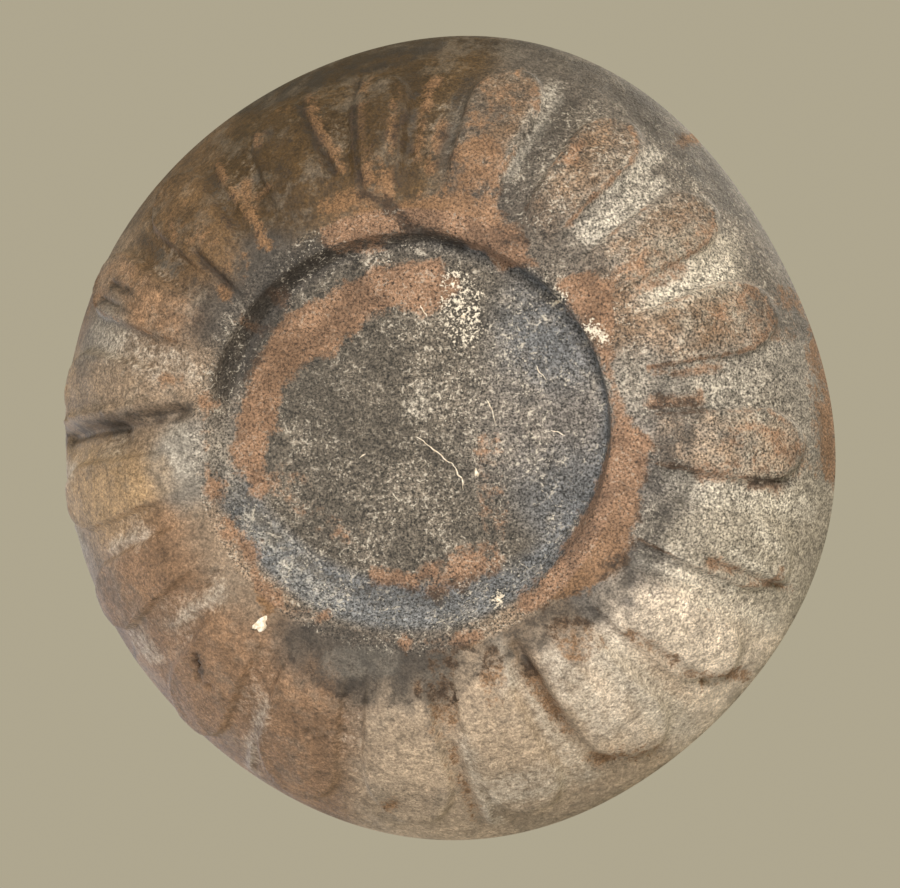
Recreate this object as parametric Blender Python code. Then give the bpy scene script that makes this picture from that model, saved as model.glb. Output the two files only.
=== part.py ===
"""Lagynos: a squat wine jug of fired clay with a wide body, a tall narrow neck and one strap handle.

The jug is one closed shell of clay. Its skin is a chain of rings that starts at the middle of the
recessed base, runs out under the body and up its outside, turns over the lip, comes down the bore
and ends at the middle of the inner floor. Raised tongues ray out under the body. Clock angles are
counted in degrees from -Y towards +X, as the underside is read from below.
"""

import math

import bpy
import numpy as np

MM = 0.001

# Body. Heights are counted from the plane that the jug rests on.
BODY_RADIUS = 79.4 * MM
WIDEST_HEIGHT = 34.0 * MM
SHOULDER_RISE = 45.0 * MM
WALL = 4.6 * MM
# Each entry is a lobe count, how far it moves the edge, and the clock angle of its crest.
OUTLINE_WAVES = (
    (2, 0.80 * MM, -10.0),
    (3, 0.45 * MM, 16.0),
    (4, 0.85 * MM, 9.5),
    (5, 0.45 * MM, 26.0),
)

# Base: a recessed disc and the resting ring round it. Both are wider from side to side than from
# front to back, by the ovals below. The ring is set off the axis, and the disc off the ring.
RECESS_RADIUS = 34.9 * MM
RECESS_OVAL = 1.65 * MM
RECESS_SHIFT = (1.4 * MM, -2.6 * MM)
RECESS_DEPTH = 5.0 * MM
DISC_DOME = 0.8 * MM
RIM_RADIUS = 38.6 * MM
RIM_OVAL = 0.95 * MM
RIM_ROUND = 0.5 * MM
REST_WIDTH = 4.0 * MM
BASE_SHIFT = (0.9 * MM, -1.4 * MM)
INNER_FLOOR_RADIUS = 48.0 * MM

# Neck, lip and bore.
NECK_ROOT_RADIUS = 18.5 * MM
NECK_RADIUS = 14.6 * MM
NECK_TOP_RADIUS = 16.0 * MM
NECK_LENGTH = 76.0 * MM
COLLAR_HEIGHT = 1.3 * MM
COLLAR_WIDTH = 5.0 * MM
COLLAR_CREST = 0.8
COLLAR_TAIL = 0.3
BORE_RADIUS = 10.4 * MM
LIP_RADIUS = 21.5 * MM
LIP_WIDTH = 7.5 * MM
LIP_HEIGHT = 9.0 * MM
LIP_FLARE = 8.0 * MM
# The bore widens towards the lip and towards its root: shares of its height over which it does,
# and shares of the widening that it reaches.
FUNNEL_START = 0.72
FUNNEL_RUN = 0.35
FUNNEL_SHARE = 0.8
ROOT_SPREAD_END = 0.3
ROOT_SPREAD_SHARE = 0.6

# Strap handle, on the -X side. The bend is the power that squares its arch, and the corner the
# power that squares its section. The foot spreads, the top tapers, and the end bites into the
# neck's wall.
HANDLE_OUT = 50.0 * MM
HANDLE_DROP = 9.0 * MM
HANDLE_WIDTH = 19.0 * MM
HANDLE_THICKNESS = 6.5 * MM
HANDLE_BEND = 0.62
HANDLE_CORNER = 0.62
HANDLE_FOOT_SPREAD = 0.35
HANDLE_FOOT_SWELL = 0.15
HANDLE_TOP_TAPER = 0.15
HANDLE_BITE = 0.75

# Tongues: clock angle of the middle, half width in degrees, and the share of the bowl's run at
# which the rounded tip ends. They were pressed by hand, so no two are alike.
TONGUES = (
    (15.5, 6.5, 0.85),
    (34.0, 5.8, 0.83),
    (52.0, 6.2, 0.80),
    (70.0, 6.8, 0.83),
    (91.5, 6.5, 0.86),
    (109.0, 6.0, 0.90),
    (126.0, 6.8, 0.88),
    (143.5, 7.5, 0.90),
    (163.0, 6.8, 0.92),
    (181.5, 8.0, 0.92),
    (201.0, 8.0, 0.93),
    (221.0, 7.0, 0.93),
    (243.0, 6.0, 0.93),
    (260.0, 6.0, 0.93),
    (278.0, 6.8, 0.93),
    (296.0, 6.0, 0.93),
    (313.5, 6.5, 0.85),
    (336.0, 7.0, 0.77),
    (354.0, 6.0, 0.77),
)
TONGUE_HEIGHT = 1.2 * MM
TONGUE_CROWN = 0.4 * MM
TONGUE_EDGE = 1.5 * MM
# Shares of the bowl's run where the tongues start to rise, over which they reach their height,
# and over which they sink back before the widest turn.
TONGUE_START = 0.06
TONGUE_RISE = 0.26
TONGUE_FADE = 0.14

# Curves of the turned profile: powers that bend the bowl, the shoulder and the neck.
BOWL_BEND = (1.8, 0.8)
SHOULDER_BEND = (1.35, 0.62)
NECK_BEND = (4.0, 5.0)

SMOOTH_ANGLE = math.radians(34.0)
CLAY_COLOUR = (0.060, 0.050, 0.045, 1.0)


def smooth_step(value):
    """Rises from 0 to 1 with level ends while value goes from 0 to 1."""
    share = np.clip(value, 0.0, 1.0)
    return share * share * (3.0 - 2.0 * share)


def body_radius(clock):
    """Radius of the widest turn at a clock angle in degrees: a circle with a few low waves."""
    radius = np.full_like(clock, BODY_RADIUS)
    for lobes, swing, crest in OUTLINE_WAVES:
        radius = radius + swing * np.cos(lobes * np.radians(clock - crest))
    return radius


def bowl_curve(share):
    """Height of the bowl, from 0 to 1, while its radius goes from 0 to 1; upright at the end."""
    first, second = BOWL_BEND
    return 1.0 - (1.0 - np.clip(share, 0.0, 1.0) ** first) ** second


def shoulder_curve(share):
    """Height of the shoulder, from 0 to 1, while its radius closes in; upright at the start."""
    first, second = SHOULDER_BEND
    return (1.0 - (1.0 - np.clip(share, 0.0, 1.0)) ** first) ** second


def neck_curve(share):
    """Radius of the neck's outside from its root, at 0, to the flare under the lip, at 1."""
    root_bend, top_bend = NECK_BEND
    root = (NECK_ROOT_RADIUS - NECK_RADIUS) * (1.0 - share) ** root_bend
    top = (NECK_TOP_RADIUS - NECK_RADIUS) * share**top_bend
    return NECK_RADIUS + root + top


# Sizes and places that follow from those above.
DISC_CENTRE = (BASE_SHIFT[0] + RECESS_SHIFT[0], BASE_SHIFT[1] + RECESS_SHIFT[1])
REST_OUTER = RIM_RADIUS + REST_WIDTH
FLOOR_HEIGHT = RECESS_DEPTH + WALL
NECK_FOOT = WIDEST_HEIGHT + SHOULDER_RISE
NECK_TOP = NECK_FOOT + NECK_LENGTH
LIP_MIDDLE_RADIUS = LIP_RADIUS - LIP_WIDTH / 2
LIP_MIDDLE_HEIGHT = NECK_TOP + LIP_FLARE + LIP_HEIGHT / 2
BORE_ROOT_RADIUS = NECK_ROOT_RADIUS - WALL

COLUMNS_PER_TONGUE = 8
# Shares at which the rings of points lie along each stretch of the profile. The recess wall's knee
# is a share of the wall's width and one of its depth, and the lip's are turns in degrees.
DISC_RINGS = (0.45, 0.80, 1.0)
RECESS_KNEE = (0.55, 0.62)
TONGUE_RINGS = (0.0, 0.10, 0.20, 0.32, 0.46, 0.60, 0.73, 0.85, 0.93)
EDGE_RING = 0.996
SHOULDER_RINGS = (0.012, 0.045, 0.10, 0.18, 0.28, 0.40, 0.53, 0.66, 0.79)
NECK_RINGS = (0.0, 0.06, 0.15, 0.30, 0.50, 0.70, 0.84, 0.94, 1.0)
LIP_RINGS = (-75.0, -40.0, -5.0, 30.0, 62.0, 90.0, 122.0, 158.0)
BORE_RINGS = (0.97, 0.88, 0.72, 0.5, 0.25, 0.08)
INNER_SHOULDER_RINGS = (1.0, 0.80, 0.60, 0.42, 0.26, 0.13, 0.04)
INNER_BOWL_RINGS = (1.0, 0.97, 0.88, 0.72, 0.50, 0.25, 0.0)
HANDLE_STATIONS = 18
HANDLE_SIDES = 14


def tongue_columns():
    """Clock angles of the finest rings' points, with each point's tongue and place across it.

    Each tongue has a point in the valley before it, two at each of its edges (the foot and the
    top of the edge) and three along its back.
    """
    clocks, owners, places = [], [], []
    for number, (middle, half_width, tip) in enumerate(TONGUES):
        before = TONGUES[number - 1]
        gap_start = before[0] + before[1]
        if number == 0:
            gap_start -= 360.0
        gap_end = middle - half_width
        edge = math.degrees(TONGUE_EDGE / (BODY_RADIUS * tip))
        top = max(half_width - edge, half_width * 0.5)
        offsets = ((gap_start + gap_end) / 2 - middle, -half_width, -top, -top / 2, 0.0)
        offsets += (top / 2, top, half_width)
        for offset in offsets:
            clocks.append(middle + offset)
            owners.append(number)
            places.append(offset)
    return np.array(clocks), np.array(owners), np.array(places)


def even_columns(clocks, step):
    """Thins the finest columns by a step, spread evenly between the valleys."""
    valleys = clocks[::COLUMNS_PER_TONGUE]
    following = np.append(valleys[1:], valleys[0] + 360.0)
    count = COLUMNS_PER_TONGUE // step
    shares = np.arange(count) / count
    return (valleys[:, None] + (following - valleys)[:, None] * shares[None, :]).ravel()


def ring(clocks, radius, height, centre=(0.0, 0.0)):
    """Points of one ring: x, y and z, around a centre that may lie off the axis."""
    angle = np.radians(clocks)
    across = radius * np.sin(angle) + centre[0]
    along = -radius * np.cos(angle) + centre[1]
    return np.stack([across, along, np.broadcast_to(height, clocks.shape)], axis=1)


def oval(clocks, radius, swing):
    """Radius of an oval ring, widest from side to side."""
    return radius - swing * np.cos(2.0 * np.radians(clocks))


def base_rings(columns):
    """The recessed disc and its wall, from the middle out to the resting ring."""
    crease = oval(columns, RECESS_RADIUS, RECESS_OVAL)
    rim = oval(columns, RIM_RADIUS, RIM_OVAL)
    rings = []
    for share in DISC_RINGS:
        height = RECESS_DEPTH - DISC_DOME * (1.0 - share**2)
        rings.append(ring(columns, crease * share, height, DISC_CENTRE))
    out, down = RECESS_KNEE
    crease_points = ring(columns, crease, RECESS_DEPTH, DISC_CENTRE)
    rim_points = ring(columns, rim, RIM_ROUND, BASE_SHIFT)
    knee_points = crease_points + out * (rim_points - crease_points)
    knee_points[:, 2] = RECESS_DEPTH * down
    rings.append(knee_points)
    rings.append(rim_points)
    rings.append(ring(columns, rim + RIM_ROUND * 2, 0.0, BASE_SHIFT))
    return rings


def bowl_point(columns, share, raised):
    """One ring on the underside of the bowl, raised along the surface's own normal."""
    outer = body_radius(columns)
    run = outer - REST_OUTER
    small = 1e-4
    height = WIDEST_HEIGHT * bowl_curve(share)
    ahead = WIDEST_HEIGHT * bowl_curve(share + small)
    behind = WIDEST_HEIGHT * bowl_curve(share - small)
    slope = (ahead - behind) / (2 * small * run)
    length = np.sqrt(1.0 + slope**2)
    radius = REST_OUTER + share * run + raised * slope / length
    centre = ((1.0 - share) * BASE_SHIFT[0], (1.0 - share) * BASE_SHIFT[1])
    return ring(columns, radius, height - raised / length, centre)


def bowl_rings(columns, owners, places):
    """The underside of the body: the tongues, the plain band past their tips and the widest turn."""
    halves = np.array([t[1] for t in TONGUES])[owners]
    tips = np.array([t[2] for t in TONGUES])
    tip = tips[owners]
    valley = np.arange(len(columns)) % COLUMNS_PER_TONGUE == 0
    tip = np.where(valley, (tips[owners] + tips[owners - 1]) / 2, tip)
    run = BODY_RADIUS - REST_OUTER
    half_length = np.radians(halves) * (REST_OUTER + tip * run)
    across = np.clip(np.abs(places) / halves, 0.0, 1.0)
    arch = np.sqrt(1.0 - across**2)
    arch_start = tip - half_length / run
    edge = TONGUE_EDGE / run
    foot_end = arch_start + half_length / run * arch + edge * 0.2
    top_end = arch_start + (half_length / run - edge) * arch
    on_back = ~valley & (np.abs(places) < halves)
    full = np.where(on_back, TONGUE_HEIGHT + TONGUE_CROWN * (1.0 - across**2), 0.0)
    rings = []
    for along in TONGUE_RINGS + (1.0,):
        share = along * top_end
        swell = smooth_step((share - TONGUE_START) / TONGUE_RISE)
        sink = smooth_step((1.0 - share) / TONGUE_FADE)
        rings.append(bowl_point(columns, share, full * swell * sink))
    for share in (foot_end, (foot_end + 1.0) / 2, np.full_like(columns, EDGE_RING)):
        rings.append(bowl_point(columns, share, 0.0))
    return rings


def shoulder_rings(columns):
    """The widest turn and the convex shoulder up to the collar round the neck's root."""
    outer = body_radius(columns)
    rings = []
    for share in SHOULDER_RINGS:
        fade = (1.0 - share) ** 2
        start = BODY_RADIUS + (outer - BODY_RADIUS) * fade
        radius = start - share * (start - NECK_ROOT_RADIUS)
        rings.append(ring(columns, radius, WIDEST_HEIGHT + SHOULDER_RISE * shoulder_curve(share)))
    return rings


def shoulder_height(radius):
    """Height of the shoulder's outside at a radius."""
    share = (BODY_RADIUS - radius) / (BODY_RADIUS - NECK_ROOT_RADIUS)
    return WIDEST_HEIGHT + SHOULDER_RISE * float(shoulder_curve(np.array(share)))


def neck_rings(columns):
    """The collar, the neck, the rolled lip and the bore, ending where the bore opens below."""
    rings = []
    collar_foot = shoulder_height(NECK_ROOT_RADIUS + COLLAR_WIDTH)
    collar_end = NECK_FOOT + COLLAR_HEIGHT / 2
    stations = ((1.0, collar_foot), (COLLAR_CREST, collar_foot + COLLAR_HEIGHT), (COLLAR_TAIL, collar_end))
    for share, height in stations:
        rings.append(ring(columns, NECK_ROOT_RADIUS + COLLAR_WIDTH * share, height))
    for share in NECK_RINGS:
        height = collar_end + (NECK_TOP - collar_end) * share
        rings.append(ring(columns, float(neck_curve(share)), height))
    for turn in LIP_RINGS:
        angle = math.radians(turn)
        radius = LIP_MIDDLE_RADIUS + LIP_WIDTH / 2 * math.cos(angle)
        rings.append(ring(columns, radius, LIP_MIDDLE_HEIGHT + LIP_HEIGHT / 2 * math.sin(angle)))
    throat = LIP_MIDDLE_RADIUS - LIP_WIDTH / 2
    for share in BORE_RINGS:
        widen = smooth_step((share - FUNNEL_START) / FUNNEL_RUN) * (throat - BORE_RADIUS) * FUNNEL_SHARE
        spread = smooth_step((ROOT_SPREAD_END - share) / ROOT_SPREAD_END) * ROOT_SPREAD_SHARE
        spread *= BORE_ROOT_RADIUS - BORE_RADIUS
        height = NECK_FOOT + (LIP_MIDDLE_HEIGHT - NECK_FOOT) * share
        rings.append(ring(columns, BORE_RADIUS + widen + spread, height))
    return rings


def inner_rings(columns):
    """The hollow: under the shoulder, down the inside of the bowl and across the inner floor."""
    outer = body_radius(columns) - WALL
    rings = []
    rise = SHOULDER_RISE - WALL
    for share in INNER_SHOULDER_RINGS:
        radius = outer - share * (outer - BORE_ROOT_RADIUS)
        rings.append(ring(columns, radius, WIDEST_HEIGHT + rise * shoulder_curve(share)))
    drop = WIDEST_HEIGHT - FLOOR_HEIGHT
    for share in INNER_BOWL_RINGS:
        radius = INNER_FLOOR_RADIUS + share * (outer - INNER_FLOOR_RADIUS)
        rings.append(ring(columns, radius, FLOOR_HEIGHT + drop * bowl_curve(share)))
    rings.append(ring(columns, INNER_FLOOR_RADIUS / 2, FLOOR_HEIGHT))
    return rings


def stitch(faces, first, first_count, second, second_count):
    """Joins two neighbouring rings of points, of the same count or of one half the other's."""
    if first_count == second_count:
        for here in range(first_count):
            after = (here + 1) % first_count
            faces.append((first + here, first + after, second + after, second + here))
        return
    fine, coarse = max(first_count, second_count), min(first_count, second_count)
    outward = first_count == fine
    fine_start, coarse_start = (first, second) if outward else (second, first)
    for here in range(coarse):
        after = (here + 1) % coarse
        left, middle = fine_start + 2 * here, fine_start + 2 * here + 1
        right = fine_start + (2 * here + 2) % fine
        near, far = coarse_start + here, coarse_start + after
        triangles = [(left, middle, near), (middle, far, near), (middle, right, far)]
        if not outward:
            triangles = [face[::-1] for face in triangles]
        faces.extend(triangles)


def shell_mesh():
    """The closed skin of the jug without its handle."""
    fine, owners, places = tongue_columns()
    middle = even_columns(fine, 2)
    coarse = even_columns(fine, 4)
    rings = base_rings(middle)
    rings += bowl_rings(fine, owners, places)
    rings += shoulder_rings(middle)
    rings += neck_rings(coarse)
    rings += inner_rings(coarse)
    points = [[(*DISC_CENTRE, RECESS_DEPTH - DISC_DOME)]]
    points += rings
    points += [[(0.0, 0.0, FLOOR_HEIGHT)]]
    starts = np.cumsum([0] + [len(group) for group in points])
    faces = []
    count = len(rings[0])
    for here in range(count):
        faces.append((0, 1 + (here + 1) % count, 1 + here))
    for number in range(1, len(rings)):
        stitch(faces, starts[number], len(points[number]), starts[number + 1], len(points[number + 1]))
    last, count = starts[len(rings)], len(rings[-1])
    for here in range(count):
        faces.append((last + here, last + (here + 1) % count, starts[-2]))
    return np.vstack(points), [tuple(int(i) for i in face) for face in faces]


def handle_path():
    """Middle line of the strap, from inside the shoulder's wall up and over into the neck's wall."""
    foot_height = shoulder_height(HANDLE_OUT) - WALL / 2
    top_height = NECK_TOP - HANDLE_DROP
    top_share = (top_height - NECK_FOOT) / NECK_LENGTH
    neck_outside = float(neck_curve(top_share))
    inner_end = neck_outside - HANDLE_BITE * (neck_outside - BORE_RADIUS)
    turn = np.linspace(0.0, math.pi / 2, HANDLE_STATIONS)
    out = inner_end + (HANDLE_OUT - inner_end) * np.clip(np.cos(turn), 0.0, 1.0) ** HANDLE_BEND
    up = foot_height + (top_height - foot_height) * np.sin(turn) ** HANDLE_BEND
    return out, up


def handle_mesh():
    """The strap: a rounded flat section swept along its middle line, with closed ends."""
    out, up = handle_path()
    forward_out, forward_up = np.gradient(out), np.gradient(up)
    length = np.hypot(forward_out, forward_up)
    normal_out, normal_up = forward_up / length, -forward_out / length
    around = np.arange(HANDLE_SIDES) * 2 * math.pi / HANDLE_SIDES
    thick = np.sign(np.cos(around)) * np.abs(np.cos(around)) ** HANDLE_CORNER
    wide = np.sign(np.sin(around)) * np.abs(np.sin(around)) ** HANDLE_CORNER
    share = np.linspace(0.0, 1.0, HANDLE_STATIONS)
    foot = (1.0 - share) ** 6
    width = HANDLE_WIDTH * (1.0 + HANDLE_FOOT_SPREAD * foot - HANDLE_TOP_TAPER * share**4)
    depth = HANDLE_THICKNESS * (1.0 + HANDLE_FOOT_SWELL * foot)
    points = []
    for number in range(HANDLE_STATIONS):
        offset = thick * depth[number] / 2
        across = -(out[number] + offset * normal_out[number])
        along = wide * width[number] / 2
        points.append(np.stack([across, along, up[number] + offset * normal_up[number]], axis=1))
    faces = []
    for start in range(0, (HANDLE_STATIONS - 1) * HANDLE_SIDES, HANDLE_SIDES):
        stitch(faces, start, HANDLE_SIDES, start + HANDLE_SIDES, HANDLE_SIDES)
    faces = [face[::-1] for face in faces]
    faces.append(tuple(range(HANDLE_SIDES)))
    last = (HANDLE_STATIONS - 1) * HANDLE_SIDES
    faces.append(tuple(reversed(range(last, last + HANDLE_SIDES))))
    return np.vstack(points), faces


def mesh_object(name, points, faces):
    """A mesh object of the given points and faces, at the origin."""
    mesh = bpy.data.meshes.new(name)
    mesh.from_pydata([tuple(point) for point in points.tolist()], [], faces)
    mesh.update()
    thing = bpy.data.objects.new(name, mesh)
    bpy.context.scene.collection.objects.link(thing)
    return thing


def clay_material():
    """Dark slip over fired clay."""
    material = bpy.data.materials.new("dark_slipped_clay")
    material.use_nodes = True
    shader = material.node_tree.nodes["Principled BSDF"]
    shader.inputs["Base Color"].default_value = CLAY_COLOUR
    shader.inputs["Roughness"].default_value = 0.62
    shader.inputs["Metallic"].default_value = 0.0
    return material


def build():
    """Builds the jug as one object, with its handle joined into the shell."""
    for thing in list(bpy.data.objects):
        bpy.data.objects.remove(thing, do_unlink=True)
    jug = mesh_object("lagynos", *shell_mesh())
    strap = mesh_object("strap_guide", *handle_mesh())
    strap.hide_render = True
    strap.display_type = "WIRE"
    join = jug.modifiers.new("strap", "BOOLEAN")
    join.operation = "UNION"
    join.solver = "EXACT"
    join.object = strap
    material = clay_material()
    jug.data.materials.append(material)
    strap.data.materials.append(material)
    for thing in (jug, strap):
        thing.data.shade_smooth()
        thing.data.set_sharp_from_angle(angle=SMOOTH_ANGLE)


build()
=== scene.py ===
"""Looks of the lagynos: one skin of worn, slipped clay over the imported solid, seen from below.

Clock angles are in degrees from -Y towards +X, as the underside is read from below. Reach is a
radius from the middle of the base, which drifts to the jug's axis towards the widest turn. Depths
and heights of the relief are counted along the surface's own normal.
"""

import math

import bpy
import numpy as np
from mathutils import Matrix, Vector


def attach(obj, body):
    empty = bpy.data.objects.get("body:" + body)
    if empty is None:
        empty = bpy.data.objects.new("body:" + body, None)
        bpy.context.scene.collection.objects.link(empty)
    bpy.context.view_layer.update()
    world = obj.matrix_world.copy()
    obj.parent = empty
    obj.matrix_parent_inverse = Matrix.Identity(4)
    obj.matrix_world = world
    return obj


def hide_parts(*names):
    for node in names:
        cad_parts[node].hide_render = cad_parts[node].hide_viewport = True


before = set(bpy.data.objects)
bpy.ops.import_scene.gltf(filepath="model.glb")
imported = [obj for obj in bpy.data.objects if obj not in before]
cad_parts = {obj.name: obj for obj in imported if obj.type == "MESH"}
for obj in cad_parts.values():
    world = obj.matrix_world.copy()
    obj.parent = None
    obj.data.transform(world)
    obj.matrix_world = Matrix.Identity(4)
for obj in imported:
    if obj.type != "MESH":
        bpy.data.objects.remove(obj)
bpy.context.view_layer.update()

MM = 0.001

# Driving sizes, the same as the solid's.
BODY_RADIUS = 79.4 * MM
WIDEST_HEIGHT = 34.0 * MM
SHOULDER_RISE = 45.0 * MM
WALL = 4.6 * MM
OUTLINE_WAVES = (
    (2, 0.80 * MM, -10.0),
    (3, 0.45 * MM, 16.0),
    (4, 0.85 * MM, 9.5),
    (5, 0.45 * MM, 26.0),
)
RECESS_RADIUS = 34.9 * MM
RECESS_OVAL = 1.65 * MM
RECESS_SHIFT = (1.4 * MM, -2.6 * MM)
RECESS_DEPTH = 5.0 * MM
DISC_DOME = 0.8 * MM
RIM_RADIUS = 38.6 * MM
RIM_OVAL = 0.95 * MM
RIM_ROUND = 0.5 * MM
REST_WIDTH = 4.0 * MM
BASE_SHIFT = (0.9 * MM, -1.4 * MM)
INNER_FLOOR_RADIUS = 48.0 * MM
NECK_ROOT_RADIUS = 18.5 * MM
NECK_RADIUS = 14.6 * MM
NECK_TOP_RADIUS = 16.0 * MM
NECK_LENGTH = 76.0 * MM
COLLAR_HEIGHT = 1.3 * MM
COLLAR_WIDTH = 5.0 * MM
COLLAR_CREST = 0.8
BORE_RADIUS = 10.4 * MM
LIP_RADIUS = 21.5 * MM
LIP_WIDTH = 7.5 * MM
LIP_HEIGHT = 9.0 * MM
LIP_FLARE = 8.0 * MM
FUNNEL_START = 0.72
FUNNEL_RUN = 0.35
FUNNEL_SHARE = 0.8
ROOT_SPREAD_END = 0.3
ROOT_SPREAD_SHARE = 0.6
HANDLE_OUT = 50.0 * MM
HANDLE_DROP = 9.0 * MM
HANDLE_WIDTH = 19.0 * MM
HANDLE_THICKNESS = 6.5 * MM
HANDLE_BEND = 0.62
HANDLE_CORNER = 0.62
HANDLE_FOOT_SPREAD = 0.35
HANDLE_FOOT_SWELL = 0.15
HANDLE_TOP_TAPER = 0.15
HANDLE_BITE = 0.75
BOWL_BEND = (1.8, 0.8)
SHOULDER_BEND = (1.35, 0.62)
NECK_BEND = (4.0, 5.0)
# The skin's widest turn lies this far inside the solid's, which is faceted, and the skin and its lime
# stay this far above the plane that the ring rests on.
SKIN_INSET = 0.22 * MM
REST_CLEARANCE = 0.02 * MM
# The recess's wall is hollow in profile: the power of its fall from the disc to the rim.
RECESS_BEND = 1.45

# Tones of the slip and clay, as the fire and the ground left them.
BLACK_SLIP = "#514b43"
SLATE_SLIP = "#625d59"
STEEL_SLIP = "#545659"
BLUE_SLIP = "#616366"
NIGHT_SLIP = "#45403b"
OLIVE_SLIP = "#49371f"
SOOT_SLIP = "#524b44"
UMBER_SLIP = "#634d35"
BROWN_SLIP = "#6d5947"
BROWN_CLAY = "#866a52"
MAUVE_SLIP = "#7e6d5c"
TAN_CLAY = "#a08666"
ROSE_CLAY = "#a18d7a"
BEIGE_CLAY = "#cfc1b1"
WARM_BEIGE = "#aa9884"
GREY_BLOOM = "#7c766e"
PALE_BLOOM = "#9d9588"
UPPER_SLIP = "#4e4439"
INNER_CLAY = "#93745a"

# Tongues: clock angle of the middle, half width in degrees, share of the bowl's run at the tip,
# how strongly the left and the right border stand up, and the tone of the face.
TONGUES = (
    (15.5, 6.5, 0.85, 0.6, 0.8, BROWN_SLIP),
    (34.0, 5.8, 0.83, 0.5, 0.9, BROWN_SLIP),
    (52.0, 6.2, 0.80, 0.5, 0.8, BROWN_SLIP),
    (70.0, 6.8, 0.83, 0.6, 0.9, BROWN_SLIP),
    (91.5, 6.5, 0.86, 0.7, 0.8, ROSE_CLAY),
    (109.0, 6.0, 0.90, 0.4, 1.0, PALE_BLOOM),
    (126.0, 6.8, 0.88, 0.7, 0.9, BEIGE_CLAY),
    (143.5, 7.5, 0.90, 0.5, 0.6, BEIGE_CLAY),
    (163.0, 6.8, 0.92, 0.5, 0.5, WARM_BEIGE),
    (181.5, 8.0, 0.92, 0.3, 0.3, WARM_BEIGE),
    (201.0, 8.0, 0.93, 0.3, 0.6, BROWN_CLAY),
    (221.0, 7.0, 0.93, 0.4, 0.4, BROWN_CLAY),
    (243.0, 6.0, 0.93, 0.8, 0.6, BROWN_CLAY),
    (260.0, 6.0, 0.93, 1.0, 0.6, TAN_CLAY),
    (278.0, 6.8, 0.93, 0.7, 0.6, MAUVE_SLIP),
    (296.0, 6.0, 0.93, 1.0, 0.6, BROWN_CLAY),
    (313.5, 6.5, 0.85, 0.7, 0.7, UMBER_SLIP),
    (336.0, 7.0, 0.77, 0.5, 0.8, OLIVE_SLIP),
    (354.0, 6.0, 0.77, 0.9, 0.6, OLIVE_SLIP),
)
# How much of a tongue's tone shows through on its face, and how far that swings.
FACE_TONE = 0.62
FACE_SWING = 0.45
# How high a tongue's face stands, how much its crown adds, and how wide its edge is. Then, as shares
# of the bowl's run, where the tongues start to rise, how long they take, and how long they fade.
TONGUE_HEIGHT = 1.2 * MM
TONGUE_CROWN = 0.4 * MM
TONGUE_EDGE = 1.5 * MM
TONGUE_START = 0.06
TONGUE_RISE = 0.26
TONGUE_FADE = 0.14
BORDER_HEIGHT = 0.55 * MM
BORDER_WIDTH = 0.75 * MM
# How far inside the tongue's edge its border runs, in border widths.
BORDER_INSET = 1.2
# Lines that the fingertip left inside each tip, one within the other.
RIPPLE_HEIGHT = 0.16 * MM
RIPPLE_STEP = 2.4 * MM
RIPPLE_REACH = 5.0 * MM

# Unevenness of the hand-pressed clay: size of the swells, their height and seed.
SWELLS = ((11.0 * MM, 0.28 * MM, 3), (4.5 * MM, 0.16 * MM, 4), (1.8 * MM, 0.07 * MM, 5))

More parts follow.
